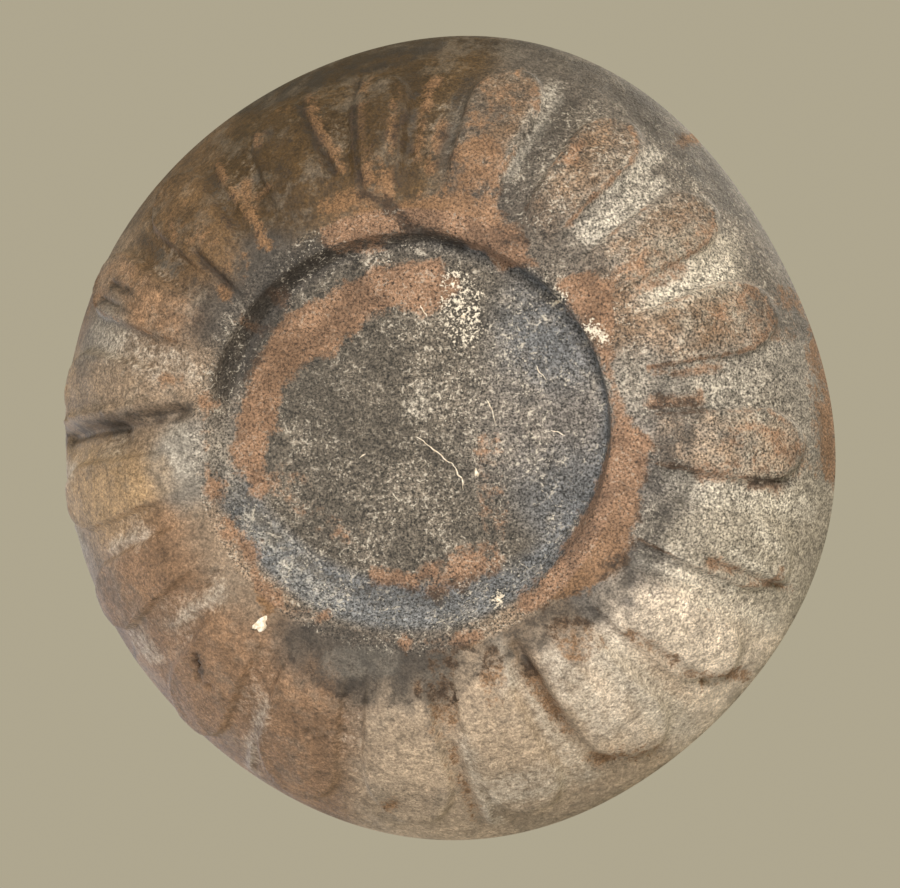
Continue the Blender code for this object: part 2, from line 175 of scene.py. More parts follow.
# Marks under the body, each from one place to another: clock angle and reach in millimetres at
# either end, then half width and height in millimetres. A groove's height is below zero.
MARKS = (
    (268.4, 79, 269.6, 60, 2.6, -1.5), (269.6, 60, 273, 44, 2.4, -1.3), (270, 79, 271.6, 60, 1.2, -1.8),
    (271.6, 60, 275.2, 43.5, 1.1, -1.6), (272.4, 76, 274.2, 60, 1, 0.9), (274.2, 60, 278, 45, 1, 0.8),
    (152, 46, 152, 62, 1, -1.3), (155.5, 44, 156.5, 51.5, 0.9, 0.9), (159.2, 46.5, 159, 52.5, 0.8, 0.8),
    (112.6, 62, 112.4, 76, 0.8, -0.9), (110.3, 69, 111.6, 75, 0.6, 0.5), (104.2, 68, 107, 73, 0.4, 0.25),
    (109.2, 66, 111.8, 70, 0.4, 0.25), (113.5, 55, 115.5, 68, 0.9, 0.6), (118, 51, 117, 62, 0.8, 0.6),
    (131.2, 57, 130.2, 73, 1.1, -0.9), (130.2, 73, 126.5, 76.5, 1, -0.7),
    (125, 63.5, 125.6, 66.5, 0.3, -0.5), (137, 50, 137.4, 68, 0.9, 0.35),
    (143.5, 75.5, 151.5, 71, 0.8, -0.7), (170, 60, 170.4, 76, 0.8, 0.6), (172.2, 60, 172.2, 76, 0.9, -0.6),
    (97, 66, 97, 72, 0.7, -0.7), (77.5, 50, 78, 60, 0.8, 0.5), (83.5, 47, 83.8, 56, 0.7, 0.3),
    (308.5, 42, 310, 54, 0.6, -1.1), (296.4, 63.5, 295.8, 69.5, 0.42, -0.7),
    (293.2, 63.5, 292.8, 70.5, 0.42, -0.7), (341, 70, 346, 52, 0.8, 0.6), (339.6, 70, 344.2, 52, 0.6, -0.5),
    (322.6, 67, 323.4, 52, 0.9, 0.5), (349.2, 72, 349.5, 46, 0.6, -0.7), (2.4, 70, 2.6, 52, 0.6, 0.4),
    (6.4, 60, 5.4, 50, 0.7, 0.35), (21, 72, 20.8, 52, 0.5, 0.35), (22.6, 72, 22.4, 52, 0.5, 0.3),
    (38.6, 66, 39.2, 71, 0.4, 0.25), (40.2, 60, 40.2, 71, 0.6, 0.4), (250, 56, 250.2, 67, 0.8, 0.6),
    (253, 76.3, 256.5, 77.2, 0.5, 0.4), (230, 48, 232.4, 60, 0.8, 0.5), (233.4, 45, 233.8, 53, 0.7, -0.8),
    (209, 60, 209.4, 76, 0.8, 0.5), (187, 64, 188.5, 66.5, 0.3, -0.4), (354.5, 43.5, 1, 38.7, 1.1, -1.4),
    (1, 38.7, 16, 36.8, 0.9, -1), (74, 79, 84, 78.4, 1.3, -0.8), (84, 78.4, 95, 79, 1.3, -0.6),
    (236, 76.5, 240, 76.5, 2, -0.4),
)
# Pits: clock angle, reach, radius and depth in millimetres.
PITS = (
    (223.9, 61.3, 0.8, 3), (222.6, 62.7, 0.6, 2.4), (224.9, 60.2, 0.6, 2), (221.9, 63.4, 0.5, 1.4),
    (219.8, 62.8, 0.5, 0.9), (105, 40.5, 0.7, 0.5), (112, 44.5, 0.6, 0.5), (121, 46.5, 0.6, 0.5),
    (300, 40, 0.5, 0.5), (203, 58, 0.7, 0.5), (199, 60, 0.8, 0.5), (187, 73, 0.9, 0.5),
)

# Where the slip has worn off a band of the base: clock angle, and the band's inner and outer reach
# in millimetres. Where the outer one is the smaller, the slip is whole there.
DISC_WEAR = (
    (244, 34, 31), (250, 30, 34), (262, 28.5, 36), (272, 27, 34.5), (290, 26, 33.6), (302, 24.3, 33.6),
    (312, 22, 33.4), (322, 21, 31.2), (332, 22.2, 30.8), (342, 23.4, 31.6), (0, 23.2, 32.4), (10, 22.8, 33),
    (17, 26, 30), (24, 31, 26),
)
REST_WEAR = (
    (333, 41.5, 38.5), (338, 37.2, 42), (350, 36.6, 42.5), (358, 37.6, 42.6), (4, 38, 44.5), (14, 37, 46),
    (24, 36.6, 45.2), (31, 35, 44), (36, 38.5, 41), (43, 42.5, 38.5), (47, 41, 41.5), (50, 39.2, 47),
    (55, 39, 49), (60, 39.6, 47), (66, 39.8, 43), (76, 41, 40.6), (88, 39.6, 43), (93, 39, 48),
    (100, 38, 46.5), (110, 37.2, 48), (120, 37, 49), (130, 37.2, 47), (138, 38, 43), (145, 38.8, 42),
    (150, 41, 39), (157, 41.5, 40.5), (161, 39, 43), (165, 39.2, 42.6), (169, 41.5, 40), (177, 40.5, 39.5),
    (179.5, 38.6, 42), (183, 41, 39), (201, 39.5, 37.5), (204.5, 37.2, 40.2), (208, 39.5, 38),
    (214, 41.5, 41), (218, 39.2, 44), (223, 39.8, 42.5), (229, 38, 40), (236, 37.2, 40.6), (243, 38, 40.2),
    (247, 40, 38.8), (252, 38.2, 41), (258, 38.4, 41), (264, 40.5, 38.5), (275, 40.2, 39.8),
    (278, 39, 41.2), (284, 41.5, 38.5),
)
# Soot and dark slip left in bands past the ring; then a dark band along the crease at the foot of the
# recess's wall, which is painted shade.
RING_SOOT = (
    (62, 56, 48), (82, 48.5, 55), (96, 48.5, 55), (105, 47, 55), (118, 47.5, 54), (130, 46, 52.5),
    (140, 42, 49), (150, 42.5, 47.5), (162, 43, 47), (170, 41, 52), (178, 42, 51), (190, 40, 52),
    (200, 40, 51), (207, 42, 49), (213, 46, 43),
)
FOOT_CREASE_SHADE = (
    (120, 34, 31), (140, 31.6, 33.4), (158, 30, 33.4), (185, 30.2, 33.2), (215, 32, 33.4),
    (240, 33.6, 34.6), (255, 36, 34),
)

# Strokes, each from one place to another: clock angle and reach in millimetres at either end, half
# width in millimetres, and how deep the finish reaches. At 0 it covers half of the place in specks,
# and at 1 nearly all of it.
# Bare strokes are worn slip, except the thin ones along the grooves between clock 112 and 173, which paint
# the grooves' brown shade in the bare clay's colour.
BARE_AND_GROOVE_SHADE_STROKES = (
    (97.2, 57, 97.6, 70, 1, 0.2), (141.5, 47.5, 141, 53, 1.6, 0.1), (138, 50, 138, 53.5, 2, -0.1),
    (171, 28.8, 149, 29, 3.2, 0.6), (192, 28.6, 174, 29.2, 1.4, 0.5), (15.5, 47, 15.5, 54, 5, 0.35),
    (15.5, 54, 15.5, 69, 4.6, -0.6), (31, 61, 31, 63, 1.4, 1), (41, 76, 41, 78, 1.2, 0.8),
    (56.5, 51.5, 57, 58.5, 3, 0.1), (52, 68, 56, 66, 2, -0.6), (70, 66, 71, 73, 4.4, -0.6),
    (77.5, 50, 78, 60, 0.9, 0.8), (83.5, 47, 83.5, 56, 1.1, 0.7), (92, 64, 93, 71, 3.8, -0.2),
    (74, 78.6, 84, 78.2, 1.6, 1.4), (84, 78.2, 95, 78.6, 1.6, 1.2), (140, 48, 140, 51, 1.6, 0.2),
    (177, 48.2, 177, 48.8, 0.8, 1), (112.6, 62, 112.4, 76, 0.6, 0.3), (131.2, 57, 130.2, 73, 0.9, 0.2),
    (130.2, 73, 126.5, 76.5, 0.9, 0.3), (143.5, 75.5, 151.5, 71, 0.9, 0.1), (152, 51, 152, 64, 1.1, 0.5),
    (172.4, 60, 172.4, 76, 0.9, 0.1), (170, 43, 173, 56, 2.4, -0.1), (158, 46, 161, 53, 1.8, 0.1),
    (184, 71.5, 185.5, 72.5, 0.9, 1), (282.5, 46, 282.5, 48, 1.1, 0.8), (307, 44, 307, 45, 1.3, 0.9),
    (303, 37, 303, 38, 1, 0.9), (315, 35.5, 315, 36.6, 1.1, 0.6), (323.4, 52, 322.6, 67, 0.6, 0.3),
    (323, 45.5, 324, 53, 1, 0.6), (324, 53, 326, 59, 0.7, 0.3), (324, 53, 330, 55, 0.8, 0.3),
    (331.5, 65.5, 331.5, 66.5, 0.9, 0.8), (341, 70, 346, 52, 0.9, 1), (341, 45.5, 348, 46, 1.5, 0.8),
    (353.5, 45.5, 353.5, 50, 2.8, 0.2), (352, 53, 351, 70, 0.6, -0.3), (357.2, 53, 357, 68, 0.6, 0),
    (97.4, 15.6, 137.5, 24.4, 1.6, -0.6), (250, 27, 236, 24, 2, -0.7), (222, 25, 212, 22, 1.6, -0.7),
    (2.4, 52, 2.4, 69, 0.7, 0.6), (6.4, 60, 5.4, 50, 0.8, 0.5), (313, 46, 312, 62, 3, -0.8),
)
PALE_STROKES = (
    (21, 53, 21, 72, 0.6, 0.7), (23, 53, 22.6, 70, 0.5, 0.4), (38.6, 66, 39.2, 71, 0.5, 0.8),
    (40.2, 60, 40.2, 71, 0.7, 0.5), (43.5, 52, 43.5, 66, 1.5, -0.1), (62, 52, 62, 66, 1.5, -0.1),
    (100.5, 53, 100.5, 74, 2.5, 0.4), (104.2, 68, 107, 73, 0.5, 0.8), (109.2, 66, 111.8, 70, 0.5, 0.8),
    (110.3, 69, 111.6, 75, 0.7, 0.7), (113.5, 55, 115.5, 68, 1, 0.8), (118, 51, 117, 62, 0.9, 0.8),
    (136.5, 57, 138, 74, 3.2, 1.4), (119, 64, 118, 76, 1.6, 0.6), (153.5, 56, 154.5, 72, 1.6, 0.2),
    (155.5, 44, 156.5, 51.5, 1.1, 1), (159.2, 46.5, 159, 52.5, 1, 1), (146, 52, 146, 66, 1.8, -0.3),
    (158, 71, 168, 70.5, 2.2, 0.2), (170, 60, 170.4, 76, 0.8, 0.5), (209, 60, 209.4, 76, 0.8, 0.5),
    (230, 48, 232.4, 60, 0.8, 0.3), (232, 70, 236, 72, 1.6, 0.1), (250, 56, 250.2, 65, 0.9, 0.3),
    (253, 76.3, 256.5, 77.2, 0.6, 0.8), (264.5, 74, 264.5, 78, 1.6, 0.4), (285, 46, 286.5, 63, 2.2, -0.2),
    (20.5, 4.4, 28, 8, 1.4, -1), (185, 44, 197, 46, 2, -0.3), (208, 35, 240, 35.5, 1.4, -0.5),
    (268, 45, 262, 44, 1.8, -0.2),
)
# Dark strokes: some are dark slip, but those that follow the grooves, the deep pits and the flake and crack
# by the recess's rim, and those along the widest turn at the top, are painted shade and shadow.
DARK_AND_SHADOW_STROKES = (
    (24.5, 49, 24.5, 70, 1.6, -0.2), (29, 43.5, 29, 51, 3, -0.4), (0, 49, 358.5, 70, 1.6, -0.2),
    (353, 56, 354, 68, 2.2, -0.5), (8, 52, 8.5, 70, 1.2, -0.2), (304.6, 52, 304.6, 70, 1, -0.3),
    (320.6, 49, 320.6, 66, 1.2, -0.2), (86, 47, 86, 55, 1.6, 0.3), (97, 66.5, 97, 72, 0.8, 0.8),
    (270.2, 79, 271.8, 60, 1.4, 0), (271.8, 60, 275.4, 43.5, 1.3, 0), (270.4, 79, 272, 60, 0.5, 1.2),
    (272, 60, 275.6, 43.5, 0.5, 1.2), (152, 46, 152, 51, 0.8, 0.4), (309, 42, 310, 54, 0.8, 1),
    (296.4, 63, 295.8, 69.5, 0.6, 1), (293.2, 63, 292.8, 70.5, 0.6, 1), (339.6, 70, 344.2, 52, 0.6, 0.9),
    (349.2, 72, 349.5, 46, 0.7, 0.3), (351, 46, 354.5, 43.5, 0.8, 1), (354.5, 43.5, 1, 38.7, 1.2, 2),
    (1, 38.7, 16, 36.8, 1.1, 2), (224.7, 60.4, 222.6, 62.6, 0.7, 2.6), (223.4, 60.6, 224.2, 62.4, 0.5, 2.6),
    (236, 77, 240, 77, 1.8, -0.7), (240, 51, 240, 63, 2.6, -1.2), (198, 59, 205, 59, 1.4, -0.6),
    (330, 50, 334, 66, 3.4, -0.6), (285, 37, 320, 38, 2.6, 0.3), (320, 38, 333, 38.5, 2.6, 0.4),
    (30, 77.5, 60, 78, 1.8, 0.1), (330, 77.5, 0, 77.5, 2.2, 0.1),
)
CRUST_STROKES = (
    (17, 30, 24, 28, 2, -0.35), (20, 27, 28, 22.5, 3.2, -0.35), (62, 40.5, 65.5, 42, 0.8, 0.5),
    (48.5, 37.5, 50, 39.5, 0.6, 0), (150.6, 36, 151.2, 37, 0.7, 0.4),
)
# Lime lumps that stand up from the clay: clock angle, reach, length and width in millimetres.
LUMPS = (
    (217.5, 46.5, 3.2, 2.3),
    (121.5, 15.3, 1.7, 0.8),
    (49.5, 37.4, 0.9, 0.7),
    (16.5, 29.2, 1.1, 0.8),
    (25.5, 24.2, 1.2, 0.9),
    (151.0, 36.4, 1.3, 0.9),
)
# Lime threads in fine cracks of the disc: places across and up from its middle, in millimetres.
THREADS = (
    ((1.0, -1.0), (4.2, -3.0), (7.0, -5.4), (9.2, -7.2), (10.0, -9.0), (10.5, -11.4)),
    ((24.4, 12.6), (25.2, 11.4), (26.4, 9.8)),
    ((27.4, 0.0), (28.6, -0.2), (30.2, -1.0)),
    ((2.0, 24.0), (2.6, 23.0), (3.6, 21.8)),
    ((-3.4, -12.0), (-2.2, -13.2)),
    ((-9.8, -5.2), (-8.6, -4.4)),
    ((14.8, 6.0), (16.0, 4.2), (16.4, 1.6)),
)
THREAD_WIDTH = 0.30 * MM
THREAD_HEIGHT = 0.10 * MM


def smooth_step(value):
    """Rises from 0 to 1 with level ends while value goes from 0 to 1."""
    share = np.clip(value, 0.0, 1.0)
    return share * share * (3.0 - 2.0 * share)


# Whole numbers that scramble a corner of the lattice into a random value, the same on every run.
CORNER_KEYS = (73856093, 19349663, 83492791)
SEED_KEY = 6971
SCRAMBLERS = ((13, 1274126177), (15, 2246822519))


def lattice_noise(points, size, seed):
    """Smooth noise from -1 to 1: random values at the corners of cubes, eased between them."""
    cell = points / size
    low = np.floor(cell).astype(np.int64)
    part = cell - low
    ease = part * part * (3.0 - 2.0 * part)
    total = np.zeros(points.shape[:-1])
    for corner in range(8):
        step = np.array([corner & 1, (corner >> 1) & 1, (corner >> 2) & 1])
        key = (low + step) @ np.array(CORNER_KEYS) + seed * SEED_KEY
        for shift, factor in SCRAMBLERS:
            key = ((key ^ (key >> shift)) * factor) & 0xFFFFFFFF
        value = ((key ^ (key >> 16)) & 0xFFFF) / 32767.5 - 1.0
        weight = np.prod(np.where(step == 1, ease, 1.0 - ease), axis=-1)
        total += value * weight
    return total


def body_radius(clock):
    """Radius of the widest turn: a circle with a few low waves."""
    radius = np.full_like(clock, BODY_RADIUS - SKIN_INSET)
    for lobes, swing, crest in OUTLINE_WAVES:
        radius = radius + swing * np.cos(lobes * np.radians(clock - crest))
    return radius


def bowl_curve(share):
    """Height of the bowl, from 0 to 1, while its radius goes from 0 to 1; upright at the end."""
    first, second = BOWL_BEND
    return 1.0 - (1.0 - np.clip(share, 0.0, 1.0) ** first) ** second


def shoulder_curve(share):
    """Height of the shoulder, from 0 to 1, while its radius closes in; upright at the start."""
    first, second = SHOULDER_BEND
    return (1.0 - (1.0 - np.clip(share, 0.0, 1.0)) ** first) ** second


def neck_curve(share):
    """Radius of the neck's outside from its root, at 0, to the flare under the lip, at 1."""
    root_bend, top_bend = NECK_BEND
    root = (NECK_ROOT_RADIUS - NECK_RADIUS) * (1.0 - share) ** root_bend
    top = (NECK_TOP_RADIUS - NECK_RADIUS) * share**top_bend
    return NECK_RADIUS + root + top


REST_OUTER = RIM_RADIUS + REST_WIDTH
FLOOR_HEIGHT = RECESS_DEPTH + WALL
NECK_FOOT = WIDEST_HEIGHT + SHOULDER_RISE
NECK_TOP = NECK_FOOT + NECK_LENGTH
LIP_MIDDLE_RADIUS = LIP_RADIUS - LIP_WIDTH / 2
LIP_MIDDLE_HEIGHT = NECK_TOP + LIP_FLARE + LIP_HEIGHT / 2
BORE_ROOT_RADIUS = NECK_ROOT_RADIUS - WALL

# Points round the jug in the finest bands, and in those that need half and a quarter as many.
FINE_COLUMNS = 720
MIDDLE_COLUMNS = FINE_COLUMNS // 2
COARSE_COLUMNS = FINE_COLUMNS // 4


def clock_and(rows, columns):
    """Grids of the clock angle and of a value that changes from row to row."""
    clock = np.arange(columns) * 360.0 / columns
    return np.meshgrid(clock, np.asarray(rows, float))


def turned(clock, radius, height, drift=0.0):
    """Points of a turned surface; drift is the share of the base's shift off the axis."""
    angle = np.radians(clock)
    across = radius * np.sin(angle) + drift * BASE_SHIFT[0]
    along = -radius * np.cos(angle) + drift * BASE_SHIFT[1]
    return np.stack([across, along, np.broadcast_to(height, clock.shape)], axis=-1)


def plan_point(clock, reach):
    """Place on the underside, in its flat plan: x, and the distance towards -Y."""
    return np.stack([reach * np.sin(np.radians(clock)), reach * np.cos(np.radians(clock))], axis=-1)


def stroke_distance(plan, stroke):
    """Distance from the straight middle line of a mark or stroke."""
    start = plan_point(stroke[0], stroke[1] * MM)
    end = plan_point(stroke[2], stroke[3] * MM)
    run = end - start
    share = np.clip(((plan - start) @ run) / max(run @ run, 1e-12), 0.0, 1.0)
    return np.linalg.norm(plan - start - share[..., None] * run, axis=-1)


def oval(clock, radius, swing):
    """Radius of an oval ring, widest from side to side."""
    return radius - swing * np.cos(2.0 * np.radians(clock))


def crease_reach(clock):
    """Where the disc meets the recess's wall, counted from the middle of the base."""
    aside = plan_point(clock, 1.0) @ np.array([RECESS_SHIFT[0], -RECESS_SHIFT[1]])
    return oval(clock, RECESS_RADIUS, RECESS_OVAL) + aside


def base_height(clock, reach):
    """Height of the base: a faintly domed disc, a wall with a hollow profile and the flat ring."""
    crease = crease_reach(clock)
    rim = oval(clock, RIM_RADIUS, RIM_OVAL)
    disc = RECESS_DEPTH - DISC_DOME * (1.0 - np.clip(reach / crease, 0.0, 1.0) ** 2)
    across = np.clip((reach - crease) / (rim - crease), 0.0, 1.0)
    wall = (RECESS_DEPTH - RIM_ROUND) * across**RECESS_BEND
    return disc - wall - RIM_ROUND * smooth_step((reach - rim) / (2.0 * RIM_ROUND))


def tongue_relief(clock, reach):
    """Height of the tongues: a rounded band for each, with a raised border just inside its edge.

    The depth inside a band is its half width less the distance from its middle line, which ends
    half a width short of the tip. The face rises over the edge's width, crowns towards the middle
    line, and a narrow ridge follows the edge on either side. Ripples follow it inside the tip.
    """
    height = np.zeros_like(clock)
    border = np.zeros_like(clock)
    ripple = np.zeros_like(clock)
    run = BODY_RADIUS - REST_OUTER
    share = (reach - REST_OUTER) / run
    rise = smooth_step((share - TONGUE_START) / TONGUE_RISE) * smooth_step((1.0 - share) / TONGUE_FADE)
    for middle, half, tip, left, right, _ in TONGUES:
        turn = (clock - middle + 180.0) % 360.0 - 180.0
        tip_reach = REST_OUTER + tip * run
        half_width = np.radians(half) * tip_reach
        widen = np.minimum(reach / tip_reach, 1.0)
        past = np.maximum(reach - (tip_reach - half_width), 0.0)
        inside = half_width * widen - np.hypot(np.radians(turn) * reach, past)
        face = smooth_step(inside / TONGUE_EDGE)
        crown = 1.0 - np.clip(np.abs(turn) / half, 0.0, 1.0) ** 2
        height = np.maximum(height, face * (TONGUE_HEIGHT + TONGUE_CROWN * crown))
        side = np.where(turn < 0.0, left, right)
        ridge = np.exp(-(((inside - BORDER_INSET * BORDER_WIDTH) / BORDER_WIDTH) ** 2)) * side
        border = np.maximum(border, ridge)
        lines = np.cos(2.0 * math.pi * inside / RIPPLE_STEP) * np.exp(-np.abs(inside) / RIPPLE_REACH)
        ripple = ripple + lines * face * smooth_step(past / half_width) * max(left, right)
    raised = (height + border * BORDER_HEIGHT + ripple * RIPPLE_HEIGHT) * rise
    return raised, height / TONGUE_HEIGHT, border


# How far past its radius a pit's side still falls.
PIT_EDGE = 1.3


def marks_relief(clock, reach):
    """Height of the ridges and grooves pressed or scraped between the tongues, and of the pits."""
    plan = plan_point(clock, reach)
    height = np.zeros_like(clock)
    for mark in MARKS:
        height = height + mark[5] * MM * np.exp(-((stroke_distance(plan, mark) / (mark[4] * MM)) ** 2))
    for middle, far, radius, depth in PITS:
        away = np.linalg.norm(plan - plan_point(middle, far * MM), axis=-1) / (radius * MM)
        height = height - depth * MM * smooth_step(PIT_EDGE - away)
    return height


# The bowl stands upright at the widest turn, so its slope is held to a steepest one. The clay's
# unevenness is less on the ring that the jug rests on, and dies out just inside the widest turn.
STEEPEST = 6.0
SLOPE_STEP = 1e-4
RING_EVENNESS = 0.8
RING_EVEN_RUN = 0.1
TURN_EVEN_RUN = 0.05


def under_surface(clock, reach):
    """Points of the underside, from the disc's middle out to the widest turn, with their relief.

    Past the resting ring the plain surface is the bowl's curve, and the relief is added along its
    normal. On the base the relief is added straight down.
    """
    run = body_radius(clock) - REST_OUTER
    share = np.clip((reach - REST_OUTER) / run, 0.0, 1.0)
    climb = bowl_curve(share + SLOPE_STEP) - bowl_curve(share - SLOPE_STEP)
    slope = WIDEST_HEIGHT * climb / (2 * SLOPE_STEP * run)
    slope = np.where(share > 0.0, np.minimum(slope, STEEPEST), 0.0)
    length = np.sqrt(1.0 + slope**2)
    height = np.where(share > 0.0, WIDEST_HEIGHT * bowl_curve(share), base_height(clock, reach))
    plain = turned(clock, reach, height, 1.0 - share)
    on_ring = smooth_step((reach - RIM_RADIUS) / REST_WIDTH)
    on_ring = on_ring * smooth_step((RING_EVEN_RUN - share) / RING_EVEN_RUN)
    hand = (1.0 - RING_EVENNESS * on_ring) * smooth_step((1.0 - share) / TURN_EVEN_RUN)
    waves = sum(size * lattice_noise(plain, span, seed) for span, size, seed in SWELLS)
    raised = tongue_relief(clock, reach)[0] + (marks_relief(clock, reach) + waves) * hand
    points = turned(clock, reach + raised * slope / length, height - raised / length, 1.0 - share)
    points[..., 2] = np.maximum(points[..., 2], REST_CLEARANCE)
    return points


def under_polar(points):
    """Clock angle and reach of points on the underside, undoing the drift of the base's middle."""
    drift = np.zeros(len(points))
    for _ in range(3):
        across = points[:, 0] - drift * BASE_SHIFT[0]
        along = points[:, 1] - drift * BASE_SHIFT[1]
        reach = np.hypot(across, along)
        drift = 1.0 - np.clip((reach - REST_OUTER) / (BODY_RADIUS - REST_OUTER), 0.0, 1.0)
    return np.degrees(np.arctan2(across, -along)) % 360.0, reach


def quad_rows(start, rows, columns):
    """Faces between neighbouring rows of one band, wound to face outwards."""
    here = np.arange(columns)
    after = (here + 1) % columns
    base = start + np.arange(rows - 1)[:, None] * columns
    return np.stack([base + here, base + after, base + columns + after, base + columns + here], axis=-1)


def halving_rows(fine, coarse, count, outward):
    """Triangles between a row and its neighbour of half as many points."""
    here = np.arange(count)
    after = (here + 1) % count
    left, middle, right = fine + 2 * here, fine + 2 * here + 1, fine + (2 * here + 2) % (2 * count)
    near, far = coarse + here, coarse + after
    faces = [(left, middle, near), (middle, far, near), (middle, right, far)]
    if not outward:
        faces = [face[::-1] for face in faces]
    return np.stack([np.stack(face, axis=-1) for face in faces], axis=1).reshape(-1, 3)


def join_bands(bands, poles):
    """Stacks the bands of rings into one closed skin with a point at either end."""
    points = [poles[0][None, :]]
    starts = []
    place = 1
    faces = []
    for band in bands:
        rows, columns = band.shape[:2]
        starts.append(place)
        faces += quad_rows(place, rows, columns).reshape(-1, 4).tolist()
        points.append(band.reshape(-1, 3))
        place += rows * columns
    points.append(poles[1][None, :])
    for number in range(len(bands) - 1):
        rows, columns = bands[number].shape[:2]
        last = starts[number] + (rows - 1) * columns
        following = bands[number + 1].shape[1]
        after = starts[number + 1]
        if columns == following:
            here = np.arange(columns)
            turn = (here + 1) % columns
            faces += np.stack([last + here, last + turn, after + turn, after + here], axis=-1).tolist()
        elif columns > following:
            faces += halving_rows(last, after, following, True).tolist()
        else:
            faces += halving_rows(after, last, columns, False).tolist()
    here = np.arange(bands[0].shape[1])
    turn = (here + 1) % len(here)
    faces += np.stack([0 * here, 1 + turn, 1 + here], axis=-1).tolist()
    rows, columns = bands[-1].shape[:2]
    last = starts[-1] + (rows - 1) * columns
    here = np.arange(columns)
    turn = (here + 1) % columns
    faces += np.stack([last + here, last + turn, 0 * here + place], axis=-1).tolist()
    return np.vstack(points), faces


# Rows of points in each band of the outside, and the share of its run where each band starts, clear
# of the last row of the band before it.
DISC_ROWS = 24
DISC_START = 0.04
WALL_ROWS = 9
WALL_START = 0.1
REST_ROWS = 7
REST_START = 0.12
BOWL_ROWS = 60
BOWL_START = 0.012
SHOULDER_ROWS = 26
SHOULDER_START = 0.004
SHOULDER_END = 0.8
# Powers that crowd the rows of a band towards the widest turn, where the surface stands upright.
BOWL_CROWDING = 0.92
SHOULDER_CROWDING = 1.6
HOLLOW_CROWDING = 1.5


def base_bands():
    """The recessed disc, its wall and the resting ring."""
    clock, share = clock_and(np.linspace(DISC_START, 1.0, DISC_ROWS), MIDDLE_COLUMNS)
    disc = under_surface(clock, crease_reach(clock) * share)
    clock, share = clock_and(np.linspace(WALL_START, 1.0, WALL_ROWS), FINE_COLUMNS)
    crease, rim = crease_reach(clock), oval(clock, RIM_RADIUS, RIM_OVAL)
    wall = under_surface(clock, crease + (rim - crease) * share)
    clock, share = clock_and(np.linspace(REST_START, 1.0, REST_ROWS), FINE_COLUMNS)
    rim = oval(clock, RIM_RADIUS, RIM_OVAL)
    return [disc, wall, under_surface(clock, rim + (REST_OUTER - rim) * share)]


def bowl_band():
    """The underside of the body with its tongues and marks, out to the widest turn."""
    rows = np.linspace(BOWL_START, 1.0, BOWL_ROWS) ** BOWL_CROWDING
    clock, share = clock_and(rows, FINE_COLUMNS)
    return under_surface(clock, REST_OUTER + share * (body_radius(clock) - REST_OUTER))


def shoulder_band():
    """The convex shoulder, up to the collar round the neck's root."""
    rows = np.linspace(0.0, 1.0, SHOULDER_ROWS) ** SHOULDER_CROWDING
    rows = SHOULDER_START + (SHOULDER_END - SHOULDER_START) * rows
    clock, share = clock_and(rows, MIDDLE_COLUMNS)
    start = BODY_RADIUS + (body_radius(clock) - BODY_RADIUS) * (1.0 - share) ** 2
    radius = start - share * (start - NECK_ROOT_RADIUS)
    return turned(clock, radius, WIDEST_HEIGHT + SHOULDER_RISE * shoulder_curve(share))


def shoulder_height(radius):
    """Height of the shoulder's outside at a radius."""
    share = (BODY_RADIUS - radius) / (BODY_RADIUS - NECK_ROOT_RADIUS)
    return WIDEST_HEIGHT + SHOULDER_RISE * float(shoulder_curve(np.array(share)))


COLLAR_ROWS = 5
NECK_ROWS = 30
LIP_ROWS = 18
BORE_ROWS = 12
# The lip's rolled section goes from under its outside to inside the throat, in degrees, and the bore
# from just below the lip to just above the hollow, as shares of its length.
LIP_TURN = (-75.0, 165.0)
BORE_RUN = (0.97, 0.08)


def neck_profile():
    """Radius and height up the collar, neck and lip and down the bore to the hollow."""
    collar_foot = shoulder_height(NECK_ROOT_RADIUS + COLLAR_WIDTH)
    turn = np.radians(np.linspace(0.0, 90.0, COLLAR_ROWS))
    fall = (1.0 - COLLAR_CREST) * (1.0 - np.cos(turn))
    collar_out = NECK_ROOT_RADIUS + COLLAR_WIDTH * (1.0 - fall)
    collar_up = collar_foot + COLLAR_HEIGHT * np.sin(turn)
    share = np.linspace(0.0, 1.0, NECK_ROWS)
    collar_end = NECK_FOOT + COLLAR_HEIGHT / 2
    neck_up = collar_end + (NECK_TOP - collar_end) * share
    turn = np.radians(np.linspace(*LIP_TURN, LIP_ROWS))
    lip_out = LIP_MIDDLE_RADIUS + LIP_WIDTH / 2 * np.cos(turn)
    lip_up = LIP_MIDDLE_HEIGHT + LIP_HEIGHT / 2 * np.sin(turn)
    throat = LIP_MIDDLE_RADIUS - LIP_WIDTH / 2
    along = np.linspace(*BORE_RUN, BORE_ROWS)
    widen = smooth_step((along - FUNNEL_START) / FUNNEL_RUN) * (throat - BORE_RADIUS) * FUNNEL_SHARE
    spread = smooth_step((ROOT_SPREAD_END - along) / ROOT_SPREAD_END) * ROOT_SPREAD_SHARE
    bore_out = BORE_RADIUS + widen + spread * (BORE_ROOT_RADIUS - BORE_RADIUS)
    bore_up = NECK_FOOT + (LIP_MIDDLE_HEIGHT - NECK_FOOT) * along
    radius = np.concatenate([collar_out, neck_curve(share), lip_out, bore_out])
    return radius, np.concatenate([collar_up, neck_up, lip_up, bore_up])


def neck_band():
    """The neck, lip and bore, turned from their profile."""
    radius, height = neck_profile()
    clock, radius = clock_and(radius, COARSE_COLUMNS)
    return turned(clock, radius, np.repeat(height[:, None], COARSE_COLUMNS, axis=1))


ROOF_ROWS = 16
ROOF_END = 0.02
INNER_BOWL_ROWS = 14
INNER_FLOOR_ROWS = 6
INNER_FLOOR_RUN = (0.75, 0.1)


